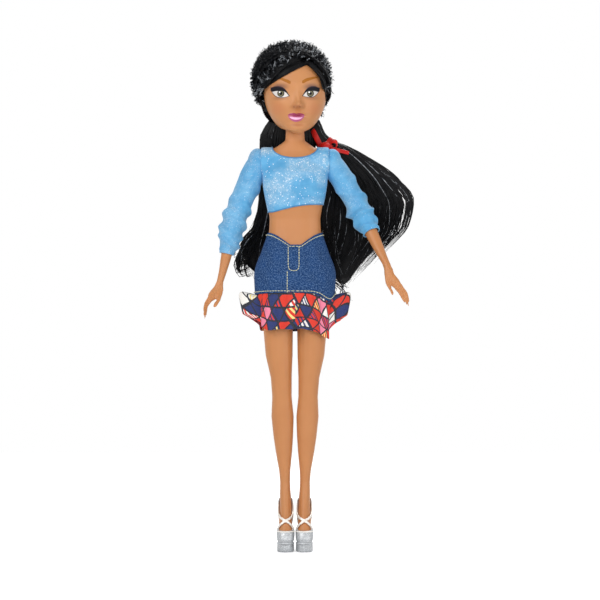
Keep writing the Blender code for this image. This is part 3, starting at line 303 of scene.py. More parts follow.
def finer_copy(name, node, voxel, passes, material, reshape=None):
    """A copy of a solid in even faces of about one voxel, relaxed that many times. reshape may work on it first."""
    piece = merged_copy(name, node)
    if reshape:
        piece = reshape(piece)
    apply_modifier(piece, "REMESH", mode="VOXEL", voxel_size=voxel, adaptivity=0.0)
    apply_modifier(piece, "SMOOTH", factor=0.5, iterations=passes)
    set_material(smooth_shaded(piece, 60), material)
    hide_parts(node)
    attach(piece, frame["nodes"][node]["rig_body"])
    print(name, "faces:", len(piece.data.polygons))
    return piece


body_front = finer_copy("torso_front_skin", "torso_front", 0.5 * MM, 12, skin)
body_back = finer_copy("torso_back_skin", "torso_back", 0.5 * MM, 12, skin)
SIDES = ("left", "right")
for side in SIDES:
    finer_copy(f"leg_{side}_skin", f"leg_{side}", 0.5 * MM, 14, skin)

# The hands are seen from the thumb's side and hang down from the wrist, with slender fingers. Each row gives a height,
# the height it moves to, and the four edges of fingers and thumb there in mm, as the relaxed solid has them and as
# they should be seen.
HAND_ROWS = {
    "right": [
        (157.8, 157.8, (-52.9, -51.0, -50.9, -49.0), (-52.9, -51.0, -50.9, -49.0)),
        (155.6, 155.6, (-53.6, -51.5, -51.4, -49.6), (-53.5, -51.5, -51.3, -49.2)),
        (152.7, 152.7, (-55.2, -51.9, -51.8, -50.5), (-55.9, -53.2, -53.1, -49.2)),
        (151.0, 151.0, (-56.5, -51.9, -51.8, -50.4), (-57.3, -53.6, -53.5, -49.4)),
        (148.2, 148.2, (-58.2, -51.9, -51.8, -50.4), (-58.3, -53.7, -53.5, -50.6)),
        (146.8, 146.8, (-58.7, -52.5, -52.0, -50.3), (-59.0, -55.1, -53.7, -51.0)),
        (145.4, 145.4, (-59.3, -53.0, -51.3, -50.2), (-59.8, -56.5, -54.2, -51.8)),
        (143.7, 143.2, (-60.2, -53.9, -50.8, -50.1), (-60.4, -58.0, -54.8, -53.0)),
        (142.6, 141.8, (-60.6, -54.7, -50.7, -50.1), (-60.6, -58.4, -54.9, -53.2)),
        (141.1, 140.0, (-61.2, -55.8, -50.7, -50.1), (-60.4, -58.7, -54.9, -53.2)),
        (139.7, 138.1, (-61.3, -56.5, -50.7, -50.1), (-60.3, -58.8, -54.9, -53.2)),
        (138.2, 136.2, (-61.4, -57.2, -50.7, -50.1), (-60.1, -59.0, -54.9, -53.2)),
    ],
    "left": [
        (168.2, 168.2, (45.1, 47.0, 47.1, 49.7), (45.1, 47.0, 47.1, 49.7)),
        (165.4, 165.4, (46.9, 49.0, 49.1, 51.3), (46.2, 48.7, 48.8, 51.1)),
        (162.6, 162.6, (48.4, 50.1, 50.2, 53.5), (46.6, 49.1, 49.3, 52.2)),
        (159.8, 159.8, (49.1, 50.8, 50.9, 55.4), (46.5, 49.7, 49.8, 54.2)),
        (156.9, 156.9, (49.3, 50.9, 51.0, 57.3), (47.1, 50.1, 50.2, 56.1)),
        (155.2, 155.2, (49.4, 51.0, 51.1, 58.3), (47.9, 50.4, 50.5, 57.2)),
        (154.1, 154.1, (49.4, 50.7, 51.8, 59.0), (48.6, 50.1, 51.8, 58.0)),
        (152.7, 152.7, (49.5, 50.7, 52.7, 59.6), (49.4, 51.0, 53.1, 59.0)),
        (151.3, 151.3, (49.7, 50.6, 53.8, 60.4), (50.1, 51.5, 54.5, 59.9)),
        (149.9, 149.5, (49.8, 50.6, 54.7, 60.9), (50.7, 51.8, 55.6, 60.3)),
        (148.5, 147.7, (49.8, 50.6, 55.8, 61.5), (51.0, 52.0, 56.6, 60.6)),
        (147.0, 145.9, (49.8, 50.6, 56.9, 61.9), (51.0, 52.0, 57.7, 60.7)),
        (145.2, 143.5, (49.8, 50.6, 58.0, 61.7), (51.0, 52.0, 59.0, 60.6)),
    ],
}


PALM_PASSES, PALM_FADE, LEAST_WEIGHT = 22, 1.6, 0.05
FAR = 50 * MM  # past the hand's edges its points keep their distance


def shape_hand(piece, rows):
    """Smooths the palm, then moves the hand's points sideways and down so that its edges follow the rows."""
    heights, targets, before, after = (np.array(column) * MM for column in zip(*rows))
    top, knuckles = heights[0], mix(heights[0], heights[-1], 0.5)
    palm = piece.vertex_groups.new(name="palm")
    for vertex in piece.data.vertices:
        share = (vertex.co.z - knuckles) / (top - knuckles)
        palm.add([vertex.index], min(1.0, max(LEAST_WEIGHT, LEAST_WEIGHT + PALM_FADE * share)), "REPLACE")
    apply_modifier(piece, "SMOOTH", factor=0.5, iterations=PALM_PASSES, vertex_group="palm")
    piece.vertex_groups.clear()
    hand = [vertex for vertex in piece.data.vertices if vertex.co.z < top]
    middle_y = sum(vertex.co.y for vertex in hand) / len(hand)
    for vertex in hand:
        near = (vertex.co.y + DISTANCE) / DISTANCE
        x = VIEW_CENTRE.x + (vertex.co.x - VIEW_CENTRE.x) / near
        z = VIEW_CENTRE.z + (vertex.co.z - VIEW_CENTRE.z) / near
        place = np.interp(-z, -heights, range(len(rows)))
        i = min(int(place), len(rows) - 2)
        old = mix(before[i], before[i + 1], place - i)
        new = mix(after[i], after[i + 1], place - i)
        x_new = np.interp(x, [old[0] - FAR, *old, old[3] + FAR], [new[0] - FAR, *new, new[3] + FAR])
        z_new = z + mix(targets[i] - heights[i], targets[i + 1] - heights[i + 1], place - i)
        fuller = 1 + 0.5 * max(0.0, 1 - (new[3] - new[0]) / (old[3] - old[0]))
        vertex.co.x = VIEW_CENTRE.x + (x_new - VIEW_CENTRE.x) * near
        vertex.co.z = VIEW_CENTRE.z + (z_new - VIEW_CENTRE.z) * near
        vertex.co.y = middle_y + (vertex.co.y - middle_y) * fuller
    piece.data.update()


for side in SIDES:
    arm = finer_copy(f"arm_{side}_skin", f"arm_{side}", 0.21 * MM, 12, skin)
    shape_hand(arm, HAND_ROWS[side])

# %% [markdown]
# ## The head
# A hollow soft vinyl head. It starts as a sphere with many rings, each ring is drawn to the head's own width, front
# and back at its height, and the face is then raised and sunk by soft mounds, as when a clay head is sculpted:
# nose, lips, chin, eye sockets, brows and cheeks. An underside hole takes the neck and its knob.

# %% Head sizes
MIDDLE = Vector((-6.6 * MM, -1.8 * MM, 0))  # where the doll's own middle lies
CHIN_Z = 244.6 * MM
HEAD_HEIGHT = 48.4 * MM
HEAD_HALF = 18.4 * MM
HEAD_FRONT = 18.5 * MM
HEAD_BACK = 19.5 * MM
HEAD_TURN = math.radians(6)
NECK_Y = 1.2 * MM
NOSE = 3.4 * MM
# Share of the head's height above the chin, of its half width, front and back
HEAD_ROWS = [
    (0.000, 0.14, 0.78, -0.51),
    (0.034, 0.32, 0.865, -0.25),
    (0.079, 0.505, 0.908, 0.41),
    (0.122, 0.62, 0.919, 0.57),
    (0.218, 0.79, 0.935, 0.74),
    (0.315, 0.91, 0.962, 0.86),
    (0.420, 0.98, 0.985, 0.95),
    (0.550, 1.00, 1.000, 1.00),
    (0.722, 0.94, 0.935, 0.95),
    (0.850, 0.76, 0.730, 0.745),
    (0.936, 0.515, 0.46, 0.51),
    (1.000, 0.10, 0.05, 0.10),
]
# Middle x and width as shares of the half width, middle z and height as shares of the height, rise as a share
# of the nose's
FACE_MOUNDS = [
    (0.00, 0.100, 0.322, 0.033, 0.95),  # nose tip
    (0.00, 0.075, 0.385, 0.055, 0.42),  # bridge
    (0.00, 0.070, 0.450, 0.070, 0.20),  # upper bridge
    (0.105, 0.050, 0.314, 0.020, 0.30),  # nostril wing
    (0.00, 0.150, 0.212, 0.012, 0.36),  # upper lip
    (0.08, 0.090, 0.217, 0.010, 0.12),  # its peaks
    (0.00, 0.150, 0.162, 0.019, 0.50),  # lower lip
    (0.00, 0.125, 0.199, 0.006, -0.26),  # between the lips
    (0.00, 0.180, 0.102, 0.018, -0.18),  # under the lower lip
    (0.00, 0.040, 0.255, 0.018, -0.08),  # groove under the nose
    (0.00, 0.250, 0.042, 0.042, 0.30),  # chin
    (0.47, 0.230, 0.473, 0.055, -0.36),  # eye socket
    (0.47, 0.150, 0.476, 0.038, 0.18),  # eyeball
    (0.46, 0.280, 0.585, 0.045, 0.16),  # brow
    (0.52, 0.260, 0.350, 0.090, 0.18),  # cheek
]
print("head mm:", round(2 * HEAD_HALF / MM, 1), "wide", round(HEAD_HEIGHT / MM, 1), "high")

# %% Head


def hermite(a, b, da, db, t):
    """The smooth curve from a to b that leaves with slope da and arrives with slope db."""
    leave, arrive = da * (t**3 - 2 * t**2 + t), db * (t**3 - t**2)
    return a * (2 * t**3 - 3 * t**2 + 1) + leave + b * (3 * t**2 - 2 * t**3) + arrive


def along_rows(rows, at):
    """The rows' values at one place, on a smooth curve that never swings past them."""
    last = len(rows) - 1
    at = min(max(at, rows[0][0]), rows[last][0])
    i = max(k for k in range(last) if rows[k][0] <= at)
    step = rows[i + 1][0] - rows[i][0]
    t = (at - rows[i][0]) / step

    def slope(k, column):
        if k in (0, last):
            return 0.0
        before = (rows[k][column] - rows[k - 1][column]) / (rows[k][0] - rows[k - 1][0])
        after = (rows[k + 1][column] - rows[k][column]) / (rows[k + 1][0] - rows[k][0])
        return 0.0 if before * after <= 0 else 2 * before * after / (before + after)

    return [
        hermite(rows[i][column], rows[i + 1][column], slope(i, column) * step, slope(i + 1, column) * step, t)
        for column in range(1, len(rows[0]))
    ]


def rounded(value, power):
    return math.copysign(abs(value) ** (2 / power), value)


def face_rise(x, z):
    total = 0.0
    for middle, width, height, depth, rise in FACE_MOUNDS:
        for side in (-1, 1) if middle else (1,):
            across = (x / HEAD_HALF - side * middle) / width
            up = ((z - CHIN_Z) / HEAD_HEIGHT - height) / depth
            if across**2 + up**2 < 20:
                total += rise * math.exp(-(across**2 + up**2) / 2)
    return NOSE * total


SEGMENTS, RINGS = (200, 170)
# Level of a ring of the sphere and its height as a share of the head's, so that rings lie closer at the face
LEVEL_ROWS = [(0.0, 0.0), (0.10, 0.03), (0.42, 0.28), (0.58, 0.42), (0.78, 0.72), (1.0, 1.0)]
POLE = 0.02  # the first and last levels, where the rings close
bpy.ops.mesh.primitive_uv_sphere_add(segments=SEGMENTS, ring_count=RINGS, radius=1)
head = bpy.context.object
head.name = "head_vinyl"
turned = Matrix.Translation(MIDDLE + Vector((0, NECK_Y, 0))) @ Matrix.Rotation(HEAD_TURN, 4, "Z")
turned = turned @ Matrix.Translation((0, -NECK_Y, 0))
section = {}
for vertex in head.data.vertices:
    x, y, z = vertex.co
    level = round(1 - math.acos(max(-1, min(1, z))) / math.pi, 5)
    share = along_rows(LEVEL_ROWS, level)[0]
    if level not in section:
        section[level] = along_rows(HEAD_ROWS, share)
    half, front, back = section[level]
    shrink = min(1.0, level / POLE, (1 - level) / POLE)
    turn = math.atan2(y, x)
    turn -= 0.72 * math.sin(turn + math.pi / 2)
    across, along = rounded(math.cos(turn), 2.15), rounded(math.sin(turn), 2.15)
    reach_front, reach_back = -HEAD_FRONT * front, HEAD_BACK * back
    centre = (reach_front + reach_back) / 2
    out_x = HEAD_HALF * half * across * shrink
    out_y = centre + (mix(reach_front, reach_back, 0.5 + along / 2) - centre) * shrink
    point = Vector((out_x, out_y, CHIN_Z + share * HEAD_HEIGHT))
    if point.y < 0:
        point.y -= face_rise(point.x, point.z) * min(1, -2 * point.y / HEAD_FRONT) * shrink
    vertex.co = turned @ point
for radius, low, high in ((6.0 * MM, CHIN_Z - 10 * MM, 0.20), (8.3 * MM, CHIN_Z + 0.185 * HEAD_HEIGHT, 0.30)):
    top = CHIN_Z + high * HEAD_HEIGHT
    middle = MIDDLE + Vector((0, NECK_Y, (top + low) / 2))
    bpy.ops.mesh.primitive_cylinder_add(vertices=48, radius=radius, depth=top - low, location=middle)
    cutter = bpy.context.object
    apply_modifier(head, "BOOLEAN", object=cutter, operation="DIFFERENCE", solver="EXACT")
    bpy.data.objects.remove(cutter)
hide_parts("head_shell")
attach(head, "head")
smooth_shaded(head, 50)
print("head faces:", len(head.data.polygons))

# %% [markdown]
# ## The face's colours
# Such a face is painted through masks: first soft airbrushed colour on eyelids and cheeks, then crisp printed
# shapes for eyes, brows and lips. The soft colour is part of the vinyl's material, as spots that fade outwards;
# the spots under the nose and under the lower lip are painted shade. The printed shapes are thin skins of lacquer
# laid on the vinyl, so that their edges stay sharp close up. Of them, the nostril dots and the lashes' reach over
# the eye white are painted shade, and the pale crescent on the lower lip is a painted highlight. The printed shapes
# are drawn on the flat plane in front of the doll and projected on the head along the lines of sight.

# %% Projecting on the head


def surface_of(*pieces):
    """The faces of these pieces as one thing that rays can hit."""
    points, faces = [], []
    for piece in pieces:
        start = len(points)
        points += [vertex.co.copy() for vertex in piece.data.vertices]
        faces += [[start + i for i in face.vertices] for face in piece.data.polygons]
    return BVHTree.FromPolygons(points, faces)


def seen_on(surface, x, z, lift=0.0):
    """The place on a surface that is seen through (x, z) on the plane through the doll, lifted off it."""
    ray = (Vector((x, 0, z)) - EYE).normalized()
    hit = surface.ray_cast(EYE, ray)[0]
    return (hit if hit else Vector((x, 0, z))) - ray * lift


head_surface = surface_of(head)
EYES = {
    # side: inner corner, outer corner, top, bottom and iris centre, as (x, z) in mm
    "right": ((-10.1, 267.7), (-20.3, 270.2), (-15.4, 270.9), (-14.9, 266.7), (-15.0, 269.1)),
    "left": ((-2.0, 267.7), (7.3, 270.1), (2.9, 270.9), (2.4, 266.9), (2.5, 269.1)),
}
print("nose tip in mm:", [round(v / MM, 1) for v in seen_on(head_surface, -5.7 * MM, 262.2 * MM)])

# %% Painted head material
painted, tree, shader = start_material("rotocast_vinyl_airbrush_painted_shade", SKIN_FINISH)
tint, place = vinyl_base(tree, shader, "#BF8050", "#CC8E5A")
SPOTS = [
    # middle (x, z) and half size in mm, colour, strength
    ((-15.9, 272.8), (5.8, 2.7), "#5C3F3C", 0.75),
    ((3.5, 272.8), (5.8, 2.7), "#5C3F3C", 0.75),
    ((-15.4, 266.4), (5.4, 1.6), "#7A4A3A", 0.45),
    ((3.0, 266.5), (5.4, 1.6), "#7A4A3A", 0.45),
    ((-17.0, 260.0), (6.0, 5.0), "#C8704E", 0.28),
    ((5.0, 260.0), (6.0, 5.0), "#C8704E", 0.28),
    # Painted shade under the nose
    ((-5.7, 261.2), (4.6, 1.5), "#9C5C30", 0.55),
    # Painted shade in the hollow under the lower lip
    ((-5.9, 250.4), (4.6, 1.3), "#A8694A", 0.45),
]
SPOT_DEPTH = 9 * MM
for middle, half, shade, strength in SPOTS:
    spot = seen_on(head_surface, middle[0] * MM, middle[1] * MM)
    away = vector_step(tree, "SUBTRACT", place, tuple(spot))
    size = (1 / (half[0] * MM), 1 / SPOT_DEPTH, 1 / (half[1] * MM))
    length = vector_step(tree, "LENGTH", vector_step(tree, "MULTIPLY", away, size), output="Value")
    fade = ranged(tree, length, 1.25, 0.15, 0.0, strength, interpolation_type="SMOOTHSTEP")
    tint = blended(tree, fade, tint, shade)
set_looks(tree, shader, tint)
set_material(head, painted)
print("airbrushed spots:", len(SPOTS))

# %% [markdown]
# ## Printed lacquer
# Pad-printed lacquer is an even, slightly glossy film a few hundredths of a millimetre thick. Its colour still
# varies a little where the film is thinner. The iris is printed as fine spokes from dark rim to light middle.

# %% Lacquer materials


def lacquer(name, first, second, grain, roughness, shine=0.5):
    """An even printed film whose colour drifts over that many millimetres."""
    return mottled(name, {"Roughness": roughness, "IOR": 1.5, "Specular IOR Level": shine}, first, second, grain)


paint = {
    "white": lacquer("lacquer_eye_white", "#CFC8C2", "#E2DCD7", 2.0, 0.35),
    "lash": lacquer("lacquer_lash_black", "#020204", "#1C1A24", 0.35, 0.5, 0.15),
    "shadow": lacquer("lacquer_lid_plum", "#33242C", "#49343C", 1.0, 0.5, 0.2),
    "lower": lacquer("lacquer_lower_line", "#4A2E22", "#5A3A2C", 1.0, 0.45),
    "brow": lacquer("lacquer_brow_golden", "#9A5A1A", "#B8752C", 0.5, 0.6, 0.2),
    "pupil": lacquer("lacquer_pupil_black", "#020203", "#060608", 1.0, 0.3, 0.15),
    "spark": lacquer("lacquer_spark_white", "#F6F6F8", "#FFFFFF", 1.0, 0.25),
    "upper_lip": lacquer("lacquer_lip_magenta", "#8A1A4C", "#A62C64", 1.5, 0.3),
    "lower_lip": lacquer("lacquer_lip_pink", "#B04A78", "#BE5C88", 1.5, 0.3),
    # Painted highlight for the pale crescent on the lower lip
    "gleam": lacquer("lacquer_lip_painted_highlight", "#EFA9CF", "#F6C6E0", 1.0, 0.25),
    # Painted shade for the nostril openings
    "nostril": lacquer("nostril_painted_shade", "#7E4A2A", "#8A5532", 1.0, 0.6),
}


def iris_material(name, spot):
    """Spokes round the iris's middle, darkest at the rim."""
    made, tree, shader = start_material(name, {"Roughness": 0.3, "IOR": 1.5, "Specular IOR Level": 0.2})
    away = vector_step(tree, "SUBTRACT", object_place(tree), tuple(spot))
    parts = add_node(tree, "ShaderNodeSeparateXYZ", {0: away}).outputs
    turn = calculated(tree, "ARCTAN2", parts[0], parts[2])
    wave = calculated(tree, "SINE", calculated(tree, "MULTIPLY", turn, 22.0))
    light = blended(tree, ranged(tree, wave, -1.0, 1.0, 0.15, 0.85), "#55503A", "#8E8763")
    length = vector_step(tree, "LENGTH", away, output="Value")
    set_looks(tree, shader, blended(tree, ranged(tree, length, 1.2 * MM, 1.95 * MM), light, "#2C2A22"))
    return made


print("lacquers:", len(paint))

# %% Printed shapes


def mesh_from(name, points, faces):
    mesh = bpy.data.meshes.new(name)
    mesh.from_pydata(points, [], faces)
    return new_object(name, mesh)


def printed(name, left, right, top, bottom, lift, material, columns=48, rows=8):
    """A film between two curves, given as heights over x in mm, laid on the head."""
    points = []
    for i in range(columns + 1):
        x = mix(left, right, (1 - math.cos(math.pi * i / columns)) / 2)
        low, high = bottom(x), top(x)
        for j in range(rows + 1):
            points.append(seen_on(head_surface, x * MM, mix(low, high, j / rows) * MM, lift * MM))
    corners = [i * (rows + 1) + j for i in range(columns) for j in range(rows)]
    piece = mesh_from(name, points, [(a, a + rows + 1, a + rows + 2, a + 1) for a in corners])
    join_corners(piece, 0.004 * MM)
    apply_modifier(piece, "SOLIDIFY", thickness=0.02 * MM, offset=-1)
    set_material(smooth_shaded(piece, 60), material)
    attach(piece, "head")


def curve_through(*points):
    """Height over x, smooth through points in mm."""
    rows = sorted(points)
    return lambda x: along_rows(rows, x)[0]


def arch(start, peak, end, power=2.0):
    """Height over x of an arch from one corner over a peak to the other corner."""

    def height(x):
        side = start if (x - peak[0]) * (start[0] - peak[0]) > 0 else end
        share = min(1.0, abs((x - peak[0]) / (side[0] - peak[0])))
        return mix(peak[1], side[1], share**power)

    return height


def disc(name, x0, z0, radius, lift, material):
    def half(x):
        return math.sqrt(max(0, radius**2 - (x - x0) ** 2))

    printed(name, x0 - radius, x0 + radius, lambda x: z0 + half(x), lambda x: z0 - half(x), lift, material, 24, 6)


IRIS_RADIUS = 2.1
WING, WING_RISE = 0.7, 0.3
LASHES = 7


def print_eye(side, inner, outer, top, bottom, iris):
    """White, iris, pupil and spark, then the lashes, the lid's shadow and the line under the eye."""
    toward = 1 if side == "left" else -1
    ends = sorted((inner[0], outer[0]))
    lid = arch(inner, top, outer, 2.6)
    low = arch(inner, bottom, outer, 2.6)
    printed(f"eye_white_{side}", *ends, lid, low, 0.03, paint["white"])

    def iris_half(x):
        return math.sqrt(max(0, IRIS_RADIUS**2 - (x - iris[0]) ** 2))

    printed(
        f"iris_{side}",
        iris[0] - IRIS_RADIUS,
        iris[0] + IRIS_RADIUS,
        lambda x: min(lid(x), iris[1] + iris_half(x)),
        lambda x: max(low(x), iris[1] - iris_half(x)),
        0.06,
        iris_material(f"lacquer_iris_{side}", seen_on(head_surface, iris[0] * MM, iris[1] * MM)),
    )
    disc(f"pupil_{side}", iris[0], iris[1], 0.95, 0.09, paint["pupil"])
    disc(f"spark_{side}", iris[0] - 0.7, iris[1] + 0.75, 0.5, 0.12, paint["spark"])
    # The upper lashes: a thick line along the lid that thickens outwards and ends in a wing
    wing = (outer[0] + toward * WING, outer[1] + WING_RISE)
    span = sorted((inner[0] - toward * 0.3, wing[0]))

    # Over the eye white the lash film reaches 0.3 mm below the lid line: painted shade of the lashes
    def lash_low(x):
        past = (x - outer[0]) * toward
        return lid(x) - 0.3 if past < 0 else mix(outer[1] - 0.15, wing[1], min(1, past / WING))

    def lash_top(x):
        share = (x - inner[0]) / (wing[0] - inner[0])
        thick = 0.30 + 1.75 * math.sin(math.pi * min(1.0, 0.62 * max(0.0, share)))
        past = (x - outer[0]) * toward
        base = lid(x) if past < 0 else mix(outer[1], wing[1], min(1, past / WING))
        return base + max(0.02, thick)

    def crease_top(x):
        share = clamp((x - inner[0]) / (wing[0] - inner[0]))
        return lash_top(x) + 0.6 * math.sin(math.pi * min(1, share * 0.9 + 0.02)) ** 0.8

    def under_bottom(x):
        return low(x) - 0.10 - 0.35 * clamp((x - inner[0]) / (outer[0] - inner[0]))

    printed(f"lashes_{side}", *span, lash_top, lash_low, 0.10, paint["lash"])
    printed(f"lid_{side}", *span, crease_top, lambda x: lash_top(x) - 0.1, 0.05, paint["shadow"])
    printed(f"under_line_{side}", *ends, lambda x: low(x) + 0.12, under_bottom, 0.08, paint["lower"])

    # Separate lashes stand on the outer half
    def lash(k):
        root = mix(iris[0], wing[0], 0.05 + 0.14 * k)
        rise = 0.95 - 0.03 * k
        tip = root + toward * (0.35 + 0.13 * k)
        base = lash_top(root) - 0.35

        def share(x):
            return clamp((x - root) / (tip - root))

        def line(x):
            return base + rise * share(x) ** 1.2

        fan = sorted((root - toward * 0.25, tip))
        upper = lambda x: line(x) + 0.32 * (1 - share(x))
        printed(f"lash_{side}_{k}", *fan, upper, lambda x: line(x) - 0.04, 0.11, paint["lash"], 16, 3)

    for k in range(LASHES):
        lash(k)


def print_brow(side, start, middle, end):
    """A brow that starts blunt and narrows outwards."""
    line = curve_through(start, middle, end)

    def half(x):
        share = (x - start[0]) / (end[0] - start[0])
        return 1.2 * (1 - 0.6 * share) * min(1.0, 0.6 + 3 * share)

    ends = sorted((start[0], end[0]))
    printed(f"brow_{side}", *ends, lambda x: line(x) + half(x), lambda x: line(x) - half(x), 0.04, paint["brow"])


for side, corners in EYES.items():
    print_eye(side, *corners)
print_brow("left", (-2.4, 275.9), (0.6, 277.2), (6.9, 278.6))
print_brow("right", (-9.2, 275.6), (-11.6, 276.5), (-17.5, 278.3))

LIP_LEFT, LIP_RIGHT, LIP_MIDDLE = -10.9, -0.9, -5.9
mouth_line = curve_through((-10.9, 256.3), (-8.3, 256.0), (-5.9, 255.7), (-3.5, 256.0), (-0.9, 256.3))
upper_edge = curve_through(
    (-10.9, 256.5), (-9.8, 257.1), (-7.2, 257.5), (-5.9, 257.2), (-4.6, 257.5), (-2.0, 257.1), (-0.9, 256.5)
)
lower_edge = curve_through(
    (-10.9, 256.2), (-10.3, 254.7), (-8.6, 253.1), (-5.9, 252.3), (-3.2, 253.1), (-1.5, 254.7), (-0.9, 256.2)
)
printed("lip_upper", LIP_LEFT, LIP_RIGHT, upper_edge, mouth_line, 0.04, paint["upper_lip"])
printed("lip_lower", LIP_LEFT, LIP_RIGHT, lambda x: mouth_line(x) - 0.12, lower_edge, 0.04, paint["lower_lip"])
# A pale crescent on the lower lip: a painted highlight
gleam = [arch((-10.0, 255.2), (LIP_MIDDLE, peak), (-1.8, 255.2), 2.2) for peak in (255.0, 253.5)]
printed("lip_gleam", -10.0, -1.8, *gleam, 0.07, paint["gleam"])
# Dark dots in the nostrils: painted shade
disc("nostril_right", -5.6 - 1.65, 261.1, 0.36, 0.03, paint["nostril"])
disc("nostril_left", -5.6 + 1.95, 261.1, 0.36, 0.03, paint["nostril"])
print("printed shapes are on the head")

# %% [markdown]
# ## Knitted cloth
# The top is cut from thin two-way stretch knit: light blue, with a foil print that broke into silver-white veins
# as the cloth was stretched over the doll, and with fine glitter in it. At the doll's scale the wales are 0.35 mm
# apart, drawn at 0.7 mm so that they show. A cloth's pattern follows the cloth, so it reads the piece's own map,
# which is laid out in metres.

# %% Knit material


def cloth_map(tree, scale):
    """The piece's own map, in steps of the given millimetres."""
    steps = 1 / (scale * MM)
    place = add_node(tree, "ShaderNodeUVMap", uv_map="cloth").outputs[0]
    return vector_step(tree, "MULTIPLY", place, (steps, steps, steps))


def knit_material(name, foil_share, dark="#2F88C0", light="#74BCE4"):
    """Knit with a foil print that breaks into veins and has worn off in large patches."""
    finish = {"Roughness": 0.72, "IOR": 1.5, "Sheen Weight": 0.25, "Sheen Roughness": 0.4}
    made, tree, shader = start_material(name, finish)
    place = object_place(tree)
    vein = noise(tree, place, 1 / (5 * MM), 6.0, {"Distortion": 2.5})
    ridge = calculated(tree, "ABSOLUTE", calculated(tree, "SUBTRACT", vein, 0.5))
    left = ranged(tree, noise(tree, place, 1 / (16 * MM)), 0.40, 0.62, 0.0, foil_share)
    foil = calculated(tree, "MULTIPLY", ranged(tree, ridge, 0.024, 0.004), left)
    bright = ranged(tree, flake_draws(tree, place, 0.45)[0], 0.975, 0.99, 0.0, foil_share)
    tint = blended(tree, noise(tree, place, 1 / (7 * MM), 4.0, {"Distortion": 1.2}), dark, light)
    tint = blended(tree, calculated(tree, "MULTIPLY", left, 0.35), tint, "#C6DEEA")
    tint = blended(tree, foil, tint, "#E9F2F6")
    tint = blended(tree, bright, tint, "#FFFFFF")
    wales = add_node(
        tree,
        "ShaderNodeTexWave",
        {"Vector": cloth_map(tree, 0.7), "Scale": 0.314, "Distortion": 0.6, "Detail": 1.0},
        bands_direction="X",
    )
    height = calculated(tree, "ADD", wales.outputs["Fac"], foil)
    set_looks(tree, shader, tint, height, 0.35, 0.12 * MM, ranged(tree, bright, 0.0, 1.0, 0.72, 0.25))
    return made


knit = knit_material("stretch_knit_foil_print", 0.9)
sleeve_knit = knit_material("stretch_knit_sleeve", 0.3)
print("materials:", knit.name, sleeve_knit.name)

# %% [markdown]
# ## Sheets of cloth
# Cloth is made as one sheet of rings of points, laid on what it covers, and then given its thickness outwards.
# Folds are waves whose strength differs from place to place, because the real ones come from gathering and
# stretching and are never even.

# %% Sheet helper


def cloth_sheet(name, grid, closed, flat, thickness, material, crease=60):
    """A sheet from rows of points, lowest row first, running anticlockwise seen from above.

    flat is its width and length when laid flat, which sets the pattern's scale. closed joins each row's ends."""
    rows, count = len(grid), len(grid[0])
    points = [point for row in grid for point in row]
    faces, spots = [], []
    columns = count if closed else count - 1
    for k in range(rows - 1):
        for i in range(columns):
            j = (i + 1) % count
            faces.append((k * count + i, k * count + j, (k + 1) * count + j, (k + 1) * count + i))
            for column, row in ((i, k), (i + 1, k), (i + 1, k + 1), (i, k + 1)):
                spots.append((column / columns * flat[0], row / (rows - 1) * flat[1]))
    piece = mesh_from(name, points, faces)
    layer = piece.data.uv_layers.new(name="cloth")
    layer.data.foreach_set("uv", [value for spot in spots for value in spot])
    if thickness:
        apply_modifier(piece, "SOLIDIFY", thickness=thickness, offset=1, use_even_offset=True, thickness_clamp=2)
    return set_material(smooth_shaded(piece, crease), material)


def wobble(x, y, z=0.0):
    """Smooth noise from -1 to 1, the same on every run."""
    total = 0.0
    for size, weight in ((1.0, 0.6), (2.3, 0.3), (5.1, 0.1)):
        total += weight * (
            math.sin(size * x + 1.3 * math.sin(size * y * 0.7 + z))
            * math.cos(size * y + 1.1 * math.sin(size * x * 0.9 + 2 * z))
        )
    return total


def tube(name, paths, radius, material, resolution=1, cyclic=False, shape=None):
    """Round strands along paths of points, as one mesh. shape gives the radius share along the path."""
    curve = bpy.data.curves.new(name, "CURVE")
    curve.dimensions = "3D"
    curve.bevel_depth = radius
    curve.bevel_resolution = resolution
    curve.use_fill_caps = True
    for path in paths:
        spline = curve.splines.new("POLY")
        spline.points.add(len(path) - 1)
        spline.use_cyclic_u = cyclic
        for i, point in enumerate(path):
            spline.points[i].co = (*point, 1)
            spline.points[i].radius = shape(i / (len(path) - 1)) if shape else 1.0
    piece = new_object(name, curve)
    bpy.ops.object.convert(target="MESH")
    piece = bpy.context.object
    bpy.ops.object.shade_smooth()
    return set_material(piece, material)


print("sheets are laid as rows of points")

# %% [markdown]
# ## The crop top
# The body of the top is laid on the torso by rays that aim at the middle of the chest: on every side the sheet runs
# from the hem up to the neckline, over the shoulders. The neckline and hem are found where the rays meet the
# outline, then both get a rolled edge, because thin knit curls there.

# %% Top body
TORSO_LENGTH = 66.5 * MM
HIP_Z = 162 * MM
SHOULDER_Z = 228.5 * MM
SHOULDER_SIDE = 19.6 * MM
CHEST = MIDDLE + Vector((0, 0.4 * MM, 221 * MM))
NECK_SIDE_Z = SHOULDER_Z + 0.122 * TORSO_LENGTH
NECKLINE_HALF = 13.2 * MM
body_surface = surface_of(body_front, body_back)


def on_chest(around, up):
    """Where the ray towards the chest's middle from this direction meets the torso."""
    out = Vector((math.cos(up) * math.cos(around), math.cos(up) * math.sin(around), math.sin(up)))
    hit = body_surface.ray_cast(CHEST + out * 0.1, -out)[0]
    point = hit + out * 0.25 * MM
    side = SHOULDER_SIDE + 0.05 * MM
    point.x = MIDDLE.x + max(-side, min(side, point.x - MIDDLE.x))
    return point


def in_neck(point):
    x = point.x - MIDDLE.x
    if abs(x) >= NECKLINE_HALF:
        return False
    depth = (6.5 if point.y < MIDDLE.y + NECK_Y else 2.3) * MM
    return point.z > NECK_SIDE_Z - depth * math.sqrt(1 - (x / NECKLINE_HALF) ** 2)


